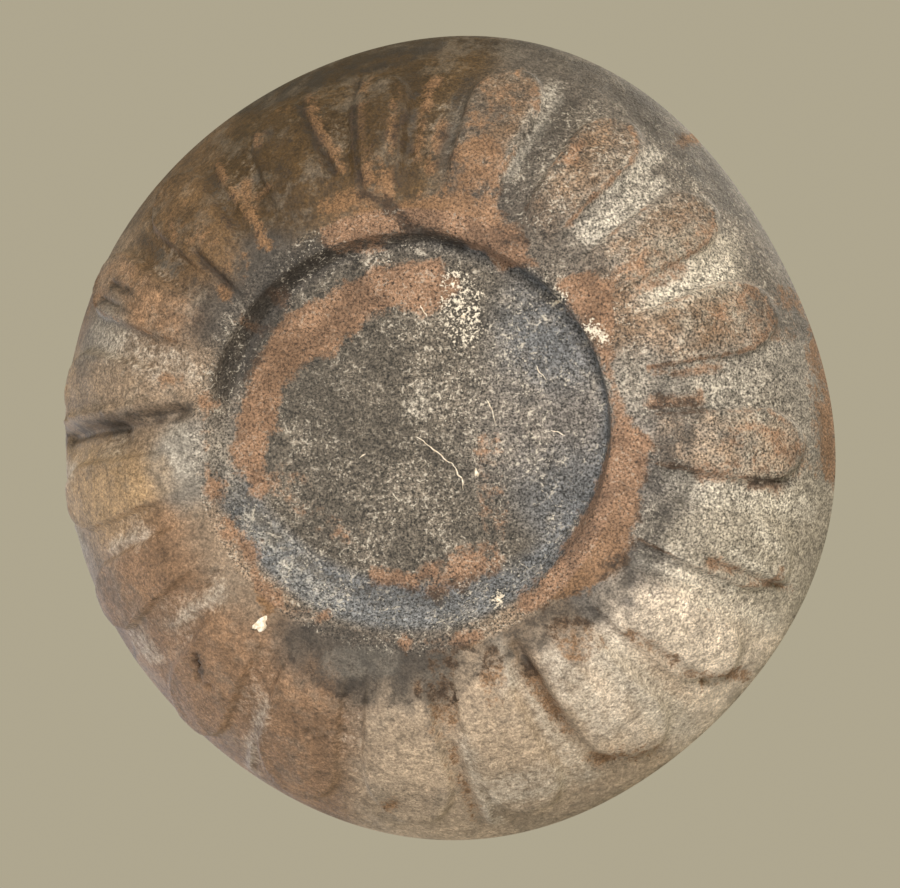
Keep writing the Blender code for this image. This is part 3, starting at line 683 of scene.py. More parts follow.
def hollow_band():
    """The hollow: under the shoulder, down the inside of the bowl and across the inner floor."""
    rows = np.linspace(1.0, ROOF_END, ROOF_ROWS) ** HOLLOW_CROWDING
    clock, share = clock_and(rows, COARSE_COLUMNS)
    outer = body_radius(clock) - WALL
    radius = outer - share * (outer - BORE_ROOT_RADIUS)
    upper = turned(clock, radius, WIDEST_HEIGHT + (SHOULDER_RISE - WALL) * shoulder_curve(share))
    clock, share = clock_and(np.linspace(1.0, 0.0, INNER_BOWL_ROWS), COARSE_COLUMNS)
    outer = body_radius(clock) - WALL
    radius = INNER_FLOOR_RADIUS + share * (outer - INNER_FLOOR_RADIUS)
    drop = WIDEST_HEIGHT - FLOOR_HEIGHT
    lower = turned(clock, radius, FLOOR_HEIGHT + drop * bowl_curve(share))
    rows = np.linspace(*INNER_FLOOR_RUN, INNER_FLOOR_ROWS)
    clock, radius = clock_and(rows * INNER_FLOOR_RADIUS, COARSE_COLUMNS)
    floor = turned(clock, radius, FLOOR_HEIGHT)
    return np.concatenate([upper, lower, floor])


HANDLE_ROWS = 80
HANDLE_SIDES = 36
RIB_HEIGHT = 0.35 * MM
RIB_WAVES = 2.5
# Powers that keep the foot's spread near the shoulder and the taper near the neck.
FOOT_POWER = 6
TAPER_POWER = 4


def handle_grid():
    """The strap: a rounded flat section, faintly ribbed outside, along its bent middle line."""
    foot_height = shoulder_height(HANDLE_OUT) - WALL / 2
    top_height = NECK_TOP - HANDLE_DROP
    neck_outside = float(neck_curve((top_height - NECK_FOOT) / NECK_LENGTH))
    inner_end = neck_outside - HANDLE_BITE * (neck_outside - BORE_RADIUS)
    turn = np.linspace(0.0, math.pi / 2, HANDLE_ROWS)
    out = inner_end + (HANDLE_OUT - inner_end) * np.clip(np.cos(turn), 0.0, 1.0) ** HANDLE_BEND
    up = foot_height + (top_height - foot_height) * np.sin(turn) ** HANDLE_BEND
    forward_out, forward_up = np.gradient(out), np.gradient(up)
    length = np.hypot(forward_out, forward_up)
    around = np.arange(HANDLE_SIDES) * 2 * math.pi / HANDLE_SIDES
    thick = np.sign(np.cos(around)) * np.abs(np.cos(around)) ** HANDLE_CORNER
    wide = np.sign(np.sin(around)) * np.abs(np.sin(around)) ** HANDLE_CORNER
    share = np.linspace(0.0, 1.0, HANDLE_ROWS)[:, None]
    foot = (1.0 - share) ** FOOT_POWER
    width = HANDLE_WIDTH * (1.0 + HANDLE_FOOT_SPREAD * foot - HANDLE_TOP_TAPER * share**TAPER_POWER)
    depth = HANDLE_THICKNESS * (1.0 + HANDLE_FOOT_SWELL * foot)
    outside = thick > 0.5
    rib = RIB_HEIGHT * (np.cos(wide * RIB_WAVES * math.pi) * (1.0 - wide**2) - 1.0) * outside
    offset = thick * depth / 2 + rib
    across = -(out[:, None] + offset * (forward_up / length)[:, None])
    height = up[:, None] - offset * (forward_out / length)[:, None]
    return np.stack([across, np.broadcast_to(wide * width / 2, across.shape), height], axis=-1)


def handle_faces(start, stations, sides):
    """Faces of the strap, with a flat end inside the shoulder's wall and one in the neck's."""
    sleeve = quad_rows(start, stations, sides).reshape(-1, 4)[:, ::-1].tolist()
    last = start + (stations - 1) * sides
    return sleeve + [list(range(start, start + sides)), list(range(last + sides - 1, last - 1, -1))]


def linear(code):
    """Linear colour of an sRGB hex value."""
    channels = [int(code[place : place + 2], 16) / 255.0 for place in (1, 3, 5)]
    return [c / 12.92 if c <= 0.04045 else ((c + 0.055) / 1.055) ** 2.4 for c in channels]


# Where each tone lies: clock angle, reach in millimetres, how far it spreads in millimetres.
TONES = (
    (0, 0, 20, BLACK_SLIP), (90, 22, 12, SLATE_SLIP), (150, 24, 10, BLACK_SLIP), (60, 30, 8, STEEL_SLIP),
    (110, 30, 8, STEEL_SLIP), (200, 28, 9, BLACK_SLIP), (240, 28, 9, BLACK_SLIP), (290, 30, 9, BLACK_SLIP),
    (340, 30, 9, BLACK_SLIP), (300, 44, 6, NIGHT_SLIP), (285, 44, 6, MAUVE_SLIP), (320, 43, 5, NIGHT_SLIP),
    (178, 46, 6, SOOT_SLIP), (192, 46, 7, SOOT_SLIP), (204, 47, 6, SOOT_SLIP), (225, 44, 6, MAUVE_SLIP),
    (240, 43, 6, MAUVE_SLIP), (262, 43, 6, GREY_BLOOM), (0, 60, 9, OLIVE_SLIP), (0, 76, 12, OLIVE_SLIP),
    (330, 62, 13, OLIVE_SLIP), (345, 50, 8, OLIVE_SLIP), (318, 76, 10, UMBER_SLIP), (14, 60, 8, SOOT_SLIP),
    (25, 58, 7, SOOT_SLIP), (30, 47, 6, SOOT_SLIP), (20, 78, 10, SOOT_SLIP), (45, 78, 9, SOOT_SLIP),
    (66, 79, 7, SOOT_SLIP), (43, 58, 8, GREY_BLOOM), (308, 62, 12, UMBER_SLIP), (62, 60, 7, PALE_BLOOM),
    (80, 60, 8, GREY_BLOOM), (84, 77, 6, GREY_BLOOM), (92, 64, 8, GREY_BLOOM), (100, 66, 7, PALE_BLOOM),
    (110, 70, 9, PALE_BLOOM), (92, 50, 7, SLATE_SLIP), (108, 50, 7, SLATE_SLIP), (122, 50, 6, SLATE_SLIP),
    (126, 68, 10, BEIGE_CLAY), (135, 66, 6, WARM_BEIGE), (153, 66, 8, WARM_BEIGE),
    (162, 60, 10, WARM_BEIGE), (162, 74, 8, WARM_BEIGE), (150, 47, 6, MAUVE_SLIP),
    (181, 66, 11, WARM_BEIGE), (202, 62, 12, BROWN_CLAY), (222, 62, 13, BROWN_CLAY),
    (240, 62, 12, BROWN_CLAY), (250, 76, 7, MAUVE_SLIP), (260, 66, 10, TAN_CLAY), (278, 62, 11, MAUVE_SLIP),
    (287, 68, 7, GREY_BLOOM), (278, 80, 7, TAN_CLAY), (290, 80, 7, BROWN_CLAY), (300, 78, 8, MAUVE_SLIP),
    (296, 54, 8, BROWN_SLIP), (346, 44, 5, UMBER_SLIP), (45, 44, 6, SOOT_SLIP), (62, 45, 6, BROWN_SLIP),
    (78, 45, 6, GREY_BLOOM),
)
# The recess's wall and the dark rest ring beside it, round the clock: darkest from the left round to the
# top, palest at the bottom.
WALL_TONES = (
    (0, NIGHT_SLIP), (30, STEEL_SLIP), (60, STEEL_SLIP), (115, STEEL_SLIP), (140, BLUE_SLIP),
    (180, BLUE_SLIP), (225, BLUE_SLIP), (245, STEEL_SLIP), (262, GREY_BLOOM), (278, SOOT_SLIP),
    (300, NIGHT_SLIP), (335, NIGHT_SLIP),
)
WALL_BLEND = 1.2 * MM
# How fast a tone fades with the square of the distance from its place, and the spreads past which
# it fades no further, so that every point has a tone.
TONE_FALL = 1.6
TONE_FAR = 6.0
# A tongue's own tone: how far it fades at the tip and towards its edge, as shares, how far out it
# takes to grow, and the noises that mottle it: size, strength and seed.
FACE_TIP = 0.12
FACE_FADE = 0.5
FACE_GROWTH = 12.0 * MM
FACE_MOTTLE = ((3.6 * MM, 1.0, 41), (1.5 * MM, 0.8, 42))
# Round the clock: how worn the tongues' raised borders are, how gritty the bowl and the base look,
# and how pale the film in the valleys between the tongues is.
BORDER_WEAR = ((6, 0.8), (30, 1.0), (60, 1.2), (95, 1.0), (115, 0.0), (150, -1), (250, -1), (300, 0.2),
               (348, 0.0))
COARSENESS = ((0, 0.4), (30, 0.9), (95, 1.0), (112, 0.8), (128, 0.5), (150, 0.35), (220, 0.3), (265, 0.4),
              (285, 0.6), (300, 0.5), (325, 0.3))
BASE_COARSENESS = ((0, 1.0), (50, 1.0), (130, 1.0), (180, 1.0), (240, 0.9), (300, 0.8), (330, 0.9))
VALLEY_FILM = ((0, -1), (30, -1), (45, -0.2), (62, 0.0), (80, -0.1), (100, 0.5), (118, 0.2), (137, -0.8),
               (155, -1), (175, -1), (270, -1), (288, 0.1), (300, -0.8), (330, -1))

# How deep the soot and the painted crease shade lie at most: below 0 they cover less than half of the
# place.
SOOT_AND_CREASE_SHADE_LIMIT = 0.05
# Painted shade at the widest turn: how much darker the slip is there, round the clock, from which reach it
# darkens and over how far.
RIM_PAINTED_SHADE = ((0, 0.3), (30, 0.4), (70, 0.4), (110, 0.2), (140, 0), (260, 0), (280, 0.3), (310, 0.2))
RIM_PAINTED_SHADE_START = 74.0 * MM
RIM_PAINTED_SHADE_RUN = 6.0 * MM
# Depths of a finish are kept in millimetres inside its edge, and this far outside it at most.
FIELD_LIMIT = 6.0


def band_depth(clock, reach, stations):
    """Millimetres inside a band whose inner and outer reach change from station to station."""
    table = np.array(stations)
    inner = np.interp(clock, table[:, 0], table[:, 1], period=360.0)
    outer = np.interp(clock, table[:, 0], table[:, 2], period=360.0)
    far = reach / MM
    return np.minimum(far - inner, outer - far)


def arc_depth(clock, reach, stations):
    """As band_depth, for a band that ends at its first and last station."""
    first, last = stations[0][0], stations[-1][0]
    half = ((last - first) % 360.0) / 2
    off = np.abs((clock - first - half + 180.0) % 360.0 - 180.0) - half
    past = np.maximum(off, 0.0) * np.radians(1.0) * reach / MM
    return band_depth(clock, reach, stations) - past


def stroke_depth(clock, reach, strokes):
    """Millimetres inside the nearest stroke, up to how deep its finish reaches."""
    plan = plan_point(clock, reach)
    depth = np.full_like(clock, -FIELD_LIMIT)
    for stroke in strokes:
        inside = np.minimum(stroke[4] - stroke_distance(plan, stroke) / MM, stroke[5])
        depth = np.maximum(depth, inside)
    return depth


def round_clock(clock, stations):
    """A value that changes evenly from station to station round the clock."""
    table = np.array(stations, float)
    return np.interp(clock, table[:, 0], table[:, 1], period=360.0)


def tone_field(clock, reach):
    """Colour of the slip: the tones, each weighed by how near it is, under those of the tongues, and
    painted shade towards the widest turn.
    """
    plan = plan_point(clock, reach)
    total = np.zeros(clock.shape + (3,))
    weights = np.full(clock.shape + (1,), 1e-9)
    for middle, far, spread, tone in TONES:
        away = np.linalg.norm(plan - plan_point(middle, far * MM), axis=-1) / (spread * MM)
        weight = np.exp(-TONE_FALL * np.minimum(away**2, TONE_FAR**2))[..., None]
        total += weight * np.array(linear(tone))
        weights += weight
    ground = total / weights
    clocks = [place for place, _ in WALL_TONES]
    tones = np.array([linear(tone) for _, tone in WALL_TONES])
    channels = [np.interp(clock, clocks, channel, period=360.0) for channel in tones.T]
    band = np.stack(channels, axis=-1)
    depth = np.minimum(reach - crease_reach(clock) + WALL_BLEND, oval(clock, RIM_RADIUS, RIM_OVAL) - reach)
    share = smooth_step((depth + WALL_BLEND) / (2.0 * WALL_BLEND))[..., None]
    ground = ground * (1.0 - share) + band * share
    uneven = np.concatenate([plan, np.zeros(plan.shape[:-1] + (1,))], axis=-1)
    swing = sum(strength * lattice_noise(uneven, size, seed) for size, strength, seed in FACE_MOTTLE)
    out = reach - REST_OUTER
    for middle, half, tip, _, _, tone in TONGUES:
        turn = np.abs((clock - middle + 180.0) % 360.0 - 180.0) / half
        past = np.maximum(out / (BODY_RADIUS - REST_OUTER) - tip + FACE_TIP, 0.0) / FACE_TIP
        inside = smooth_step((1.0 - np.hypot(turn, past)) / FACE_FADE) * smooth_step(out / FACE_GROWTH)
        share = np.clip(inside * (FACE_TONE + FACE_SWING * swing), 0.0, 1.0)[..., None]
        ground = ground * (1.0 - share) + np.array(linear(tone)) * share
    # Painted shade: the slip darkens towards the widest turn, most round the top.
    rim_shade_share = smooth_step((reach - RIM_PAINTED_SHADE_START) / RIM_PAINTED_SHADE_RUN)
    return ground * (1.0 - round_clock(clock, RIM_PAINTED_SHADE) * rim_shade_share)[..., None]


# How far down the throat the slip ran in, how much that swings, and over how many millimetres it ends.
THROAT_SLIP = 16.0 * MM
THROAT_SWING = 3.0
THROAT_SWELL = 9.0 * MM
THROAT_FADE = 2.0
# How the upper side wears, in millimetres inside the edge of a worn patch: all over, with the swing
# of its patches, more on top of the lip, and more along the strap's edges.
UPPER_WEAR = -2.3
UPPER_WEAR_SWING = 1.6
UPPER_WEAR_SIZE = 26.0 * MM
LIP_WEAR = 2.2
STRAP_WEAR = 2.4
STRAP_WEAR_START = 0.75
STRAP_WEAR_RUN = 0.3
# The underside's tones give way to the plain upper slip above the widest turn, along a wavering edge.
EDGE_BLEND = 16.0 * MM
EDGE_SWING = 7.0 * MM
EDGE_SWELL = 11.0 * MM
# Wear of a tongue's border: depth on flat clay, gain on a full border and share of BORDER_WEAR.
FLAT_WEAR = -3.0
BORDER_GAIN = 3.2
BORDER_SHARE = 0.8
# Film in the valleys: its loss on a tongue's face, and its fall in each millimetre off its middle.
BOWL_MARGIN = 5.0 * MM
FILM_LOSS = 2.5
FILM_FALL = 0.18
FILM_MIDDLE = 59.0
# How gritty the upper side and the hollow look, and how much smoother the bowl is at its edge.
UPPER_COARSENESS = 0.35
INNER_COARSENESS = 0.1
EDGE_SMOOTHING = 0.4
EDGE_SMOOTH_START = 70.0 * MM
EDGE_SMOOTH_RUN = 8.0 * MM


def surface_fields(points, inside, strap):
    """Colour and finish at every point of the skin, from its place on the jug.

    A finish is a depth in millimetres inside the edge of its patches: the deepest of its bands,
    strokes, borders and valleys. The upper side, the strap and the hollow have rules of their own.
    """
    clock, reach = under_polar(points)
    over = points[:, 2] - WIDEST_HEIGHT
    upper = (over > 0.0) & ~inside
    reach = np.where(upper, BODY_RADIUS + over, reach)
    _, face, border = tongue_relief(clock, np.minimum(reach, BODY_RADIUS))
    in_bowl = (reach > REST_OUTER + BOWL_MARGIN) & (reach < BODY_RADIUS)
    rings = np.maximum(arc_depth(clock, reach, DISC_WEAR), band_depth(clock, reach, REST_WEAR))
    bare = np.maximum(rings, stroke_depth(clock, reach, BARE_AND_GROOVE_SHADE_STROKES))
    outline = BORDER_GAIN * border + FLAT_WEAR + BORDER_SHARE * round_clock(clock, BORDER_WEAR)
    bare = np.maximum(bare, np.where(in_bowl, outline, -FIELD_LIMIT))
    # The dark layer: soot past the ring, painted shade along the crease, and dark strokes, many of them
    # painted shade and shadow.
    soot_and_crease_shade = np.maximum(arc_depth(clock, reach, RING_SOOT), arc_depth(clock, reach, FOOT_CREASE_SHADE))
    dark = np.maximum(np.minimum(soot_and_crease_shade, SOOT_AND_CREASE_SHADE_LIMIT), stroke_depth(clock, reach, DARK_AND_SHADOW_STROKES))
    valley = round_clock(clock, VALLEY_FILM) - FILM_LOSS * face
    valley = valley - FILM_FALL * np.abs(reach / MM - FILM_MIDDLE)
    pale = np.maximum(stroke_depth(clock, reach, PALE_STROKES), np.where(in_bowl, valley, -FIELD_LIMIT))
    crust = stroke_depth(clock, reach, CRUST_STROKES)

    tone = tone_field(clock, reach)
    rise = np.where(upper, over + EDGE_SWING * lattice_noise(points, EDGE_SWELL, 13), 0.0)
    blend = smooth_step(rise / EDGE_BLEND)[:, None]
    tone = tone * (1.0 - blend) + np.array(linear(UPPER_SLIP)) * blend
    worn = UPPER_WEAR + UPPER_WEAR_SWING * lattice_noise(points, UPPER_WEAR_SIZE, 11)
    lip_top = smooth_step((points[:, 2] - LIP_MIDDLE_HEIGHT) / (LIP_HEIGHT / 2)) * LIP_WEAR
    bare = np.where(upper, np.maximum(bare, worn + lip_top), bare)
    strap_edge = np.abs(points[:, 1]) / (HANDLE_WIDTH / 2)
    rubbed = STRAP_WEAR * smooth_step((strap_edge - STRAP_WEAR_START) / STRAP_WEAR_RUN)
    bare = np.where(strap, worn + rubbed, bare)
    throat = (LIP_MIDDLE_HEIGHT - THROAT_SLIP - points[:, 2]) / MM
    throat = throat + THROAT_SWING * lattice_noise(points, THROAT_SWELL, 12)
    slipped = smooth_step(-throat / THROAT_FADE)[:, None]
    lining = np.array(linear(INNER_CLAY)) * (1.0 - slipped) + np.array(linear(UPPER_SLIP)) * slipped
    tone = np.where(inside[:, None], lining, tone)
    for depth in (bare, dark, pale, crust):
        depth[inside] = -FIELD_LIMIT
    coarse = np.where(upper | strap, UPPER_COARSENESS, round_clock(clock, COARSENESS))
    coarse = np.where(inside, INNER_COARSENESS, coarse)
    near_edge = smooth_step((reach - EDGE_SMOOTH_START) / EDGE_SMOOTH_RUN)
    coarse = coarse * (1.0 - EDGE_SMOOTHING * near_edge)
    on_base = (reach < REST_OUTER) & ~inside
    coarse = np.where(on_base, round_clock(clock, BASE_COARSENESS), coarse)
    depths = [np.clip(depth, -FIELD_LIMIT, FIELD_LIMIT) for depth in (dark, bare, pale, crust)]
    return tone, depths + [coarse]


def jug_skin():
    """The whole jug as one mesh: the turned skin with its relief, and the strap."""
    bands = base_bands() + [bowl_band(), shoulder_band(), neck_band(), hollow_band()]
    first = under_surface(np.zeros(1), np.zeros(1))[0]
    last = np.array([0.0, 0.0, FLOOR_HEIGHT])
    points, faces = join_bands(bands, (first, last))
    handle = handle_grid()
    faces += handle_faces(len(points), HANDLE_ROWS, HANDLE_SIDES)
    sizes = [band.shape[0] * band.shape[1] for band in bands]
    bore_start = 1 + sum(sizes[:-1]) - BORE_ROWS * COARSE_COLUMNS
    strap = np.zeros(len(points) + handle.shape[0] * handle.shape[1], bool)
    strap[len(points) :] = True
    inside = np.zeros(len(strap), bool)
    inside[bore_start : len(points)] = True
    return np.vstack([points, handle.reshape(-1, 3)]), faces, inside, strap


NORMAL_STEP = 0.25 * MM


def surface_frame(clock, reach):
    """Places on the underside and the surface's outward normal there, from two short steps."""
    here = under_surface(clock, reach)
    outward = under_surface(clock, reach + NORMAL_STEP) - here
    turn = np.degrees(NORMAL_STEP / np.maximum(reach, NORMAL_STEP))
    around = under_surface(clock + turn, reach) - here
    normal = np.cross(around, outward)
    return here, normal / np.linalg.norm(normal, axis=-1, keepdims=True)


LUMP_ROWS = 8
LUMP_SIDES = 20
# A lump's height as a share of its width, and how far its rim sinks into the clay. Its outline's
# lobes: how many, how strong and how they turn with the seed. Then how rough its top is, at which
# size, and how far each lump's length is turned from the one before it, in radians.
LUMP_RISE = 0.38
LUMP_SINK = 0.1 * MM
LUMP_LOBES = ((3.0, 0.22, 1.0), (5.0, 0.12, 2.0))
LUMP_ROUGHNESS = 0.35
LUMP_GRAIN = 0.5 * MM
LUMP_LEAN = 0.9


def lump_mesh(clock, reach, length, width, seed):
    """A knob of lime: a low dome over an oval patch of the surface, roughened by noise."""
    ring = np.linspace(0.0, 1.0, LUMP_ROWS + 1)[1:]
    turn = np.arange(LUMP_SIDES) * 2 * math.pi / LUMP_SIDES
    ring, turn = np.meshgrid(ring, turn, indexing="ij")
    ragged = 1.0 + sum(swing * np.sin(lobes * turn + phase * seed) for lobes, swing, phase in LUMP_LOBES)
    lean = seed * LUMP_LEAN
    along = ring * ragged * length / 2 * np.cos(turn)
    across = ring * ragged * width / 2 * np.sin(turn)
    right = along * math.cos(lean) - across * math.sin(lean)
    up = along * math.sin(lean) + across * math.cos(lean)
    middle = plan_point(np.array(clock), np.array(reach))
    plan_x, plan_up = middle[0] + right, middle[1] + up
    here, normal = surface_frame(np.degrees(np.arctan2(plan_x, plan_up)), np.hypot(plan_x, plan_up))
    rise = LUMP_RISE * width * np.sqrt(np.maximum(1.0 - ring**2, 0.0)) - LUMP_SINK * ring**8
    rough = 1.0 + LUMP_ROUGHNESS * lattice_noise(here, LUMP_GRAIN, seed + 20)
    points = (here + normal * (rise * rough)[..., None]).reshape(-1, 3)
    top_here, top_normal = surface_frame(np.array([clock]), np.array([reach]))
    points = np.vstack([points, top_here + top_normal * LUMP_RISE * width])
    points[:, 2] = np.maximum(points[:, 2], REST_CLEARANCE)
    faces = quad_rows(0, LUMP_ROWS, LUMP_SIDES).reshape(-1, 4)[:, ::-1].tolist()
    here = np.arange(LUMP_SIDES)
    top = 0 * here + LUMP_ROWS * LUMP_SIDES
    faces += np.stack([here, (here + 1) % LUMP_SIDES, top], axis=-1).tolist()
    return points, faces


# A thread has this many steps between two of its places. It wanders, thins towards its ends and
# swells and narrows on the way; its sides sink just under the clay.
THREAD_STEPS = 8
THREAD_SINK = 0.02 * MM
THREAD_WANDER = 0.3 * MM
THREAD_WANDER_SIZE = 0.9 * MM
THREAD_END = 0.05
THREAD_THINNING = 2.0
THREAD_MIDDLE = 0.75
THREAD_SWELL = 0.45
THREAD_SWELL_SIZE = 0.7 * MM


def thread_mesh(route):
    """A thread of lime that fills a crack: a low ridge, three points wide, along a smooth route."""
    corners = np.array(route)
    steps = THREAD_STEPS * (len(corners) - 1) + 1
    share = np.linspace(0.0, len(corners) - 1.0, steps)
    plan = [np.interp(share, np.arange(len(corners)), column) for column in corners.T]
    plan = np.stack(plan, axis=-1) * MM
    wander = np.concatenate([plan, np.zeros((steps, 1))], axis=1)
    shift = [lattice_noise(wander, THREAD_WANDER_SIZE, seed) for seed in (31, 32)]
    plan = plan + THREAD_WANDER * np.stack(shift, axis=-1)
    forward = np.gradient(plan, axis=0)
    forward = forward / np.linalg.norm(forward, axis=-1, keepdims=True)
    aside = np.stack([-forward[:, 1], forward[:, 0]], axis=-1)
    ends = np.minimum(share, share[-1] - share)
    taper = np.sqrt(np.clip(ends * THREAD_THINNING + THREAD_END, 0.0, 1.0))
    taper = taper * (THREAD_MIDDLE + THREAD_SWELL * lattice_noise(wander, THREAD_SWELL_SIZE, 33))
    rows = []
    for side, lift in ((-1.0, -THREAD_SINK), (0.0, THREAD_HEIGHT), (1.0, -THREAD_SINK)):
        place = plan + aside * (side * THREAD_WIDTH / 2 * taper)[:, None]
        here, normal = surface_frame(np.degrees(np.arctan2(place[:, 0], place[:, 1])), np.hypot(*place.T))
        rows.append(here + normal * lift)
    points = np.stack(rows, axis=1).reshape(-1, 3)
    here = np.arange(steps - 1)[:, None] * 3 + np.arange(2)
    faces = np.stack([here + 3, here + 4, here + 1, here], axis=-1).reshape(-1, 4)
    return points, faces.tolist()


def add(tree, kind, inputs=None, out=0, **settings):
    """Adds a node with its settings and links, and gives one of its outputs.

    An input is given by name or number, as a value or as another node's output.
    """
    node = tree.nodes.new(kind)
    for name, value in settings.items():
        setattr(node, name, value)
    for name, value in (inputs or {}).items():
        if isinstance(value, bpy.types.NodeSocket):
            tree.links.new(value, node.inputs[name])
        else:
            node.inputs[name].default_value = value
    return node.outputs[out]


def colour(code):
    """An sRGB hex value as a linear colour with alpha."""
    return tuple(linear(code)) + (1.0,)


# Noises of the clay's finish: grain in millimetres, detail and roughness. The gritty temper of the
# clay is about 0.4 mm, and is drawn no finer because the render would lose it.
NOISES = {
    "cloud": (13.0, 4.0, 0.55),
    "haze": (8.0, 9.0, 0.72),
    "blotch": (4.2, 6.0, 0.62),
    "grain": (1.1, 4.0, 0.70),
    "grit": (0.45, 2.0, 0.75),
    "speck": (0.60, 2.0, 0.60),
}
# How many millimetres the noises move a finish's edge, and the crust's, which is finer.
BLOTCH_EDGE = 7.0
GRAIN_EDGE = 5.5
CRUST_EDGE = 6.0
# The fine cracks of the slip, in millimetres: how far apart, how far each wanders and at what size.
# As dark lines they show below the coarseness CRACK_END.
CRACK_SPACING = 2.4
CRACK_WANDER = 1.3
CRACK_SWELL = 1.6
CRACK_END = 0.75
# As shares of the spacing: how far from its middle line a crack is whole, and where it is gone.
CRACK_LINE = (0.02, 0.08)
# Lime holds on coarse ground, from this coarseness on, and less on bare clay than on slip.
LIME_COARSE = 0.45
LIME_ON_CLAY = 0.35
BUMP_STRENGTH = 0.9
# Shades and shares read off a noise: the two values of the noise, and what they become. Shades
# multiply a colour and go from dark to light; shares mix a second colour in.
READINGS = {
    "shade": ("cloud", 0.38, 0.62, 0.84, 1.14),
    "mottle": ("blotch", 0.36, 0.64, 0.78, 1.20),
    "haze": ("haze", 0.50, 0.62, 0.0, 0.30),
    "rough": ("grain", 0.36, 0.64, 0.62, 1.40),
    "pepper": ("grit", 0.36, 0.64, 0.10, 2.10),
    "warm": ("haze", 0.42, 0.58, 0.0, 1.0),
    "temper": ("grit", 0.34, 0.66, 0.45, 1.60),
    "pit": ("speck", 0.58, 0.66, 0.0, 1.0),
    "broken": ("grain", 0.52, 0.58, 0.0, 0.8),
    "lime": ("speck", 0.375, 0.32, 0.0, 0.85),
    "limy": ("haze", 0.45, 0.56, 0.15, 1.0),
}
# Layers that lie over the slip: how soft the edge is, in millimetres, and how much of what lies
# under it each hides where it is full. The crust's edge is a finer one.
LAYERS = {"dark": (1.0, 0.80), "bare": (0.9, 0.90), "pale": (2.0, 0.55), "crust": (0.3, 0.95)}
# Colours of the layers, of the bare clay from deep to light and where it is smooth, of its pits,
# and of the cracks and the lime that sits in them.
HAZE_FILM = "#857c70"
PALE_FILM = "#bcb6ab"
DEEP_CLAY = "#6e5645"
LIGHT_CLAY = "#94755e"
SMOOTH_CLAY = "#785a3a"
PIT_SHADE = "#33261f"
# The dark layer's colour, for soot and dark slip and for painted shade and shadow.
SOOT_AND_SHADOW_DARK = "#26221f"
CRACK_SHADE = "#2f2219"
LIME_SPECK = "#cfc7b9"
LIME_CRUST = "#e8decd"
# Relief that the bump draws: strength by noise and by layer, upwards when above 0.
HAZE_RELIEF = 0.9
NOISE_RELIEF = (("grain", 0.35), ("grit", 0.14), ("speck", -0.12))
BARE_RELIEF = -0.12
CRUST_RELIEF = 0.15
CRACK_RELIEF = -0.25
# Roughness of the slip and of the bare clay: semi-matt and matt.
SLIP_ROUGHNESS = 0.58
CLAY_ROUGHNESS = 0.88
CLAY_IOR = 1.45
# Settings of a mix of two colours, and of one that multiplies them.
BLEND = {"data_type": "RGBA"}
MULTIPLY = {"data_type": "RGBA", "blend_type": "MULTIPLY"}


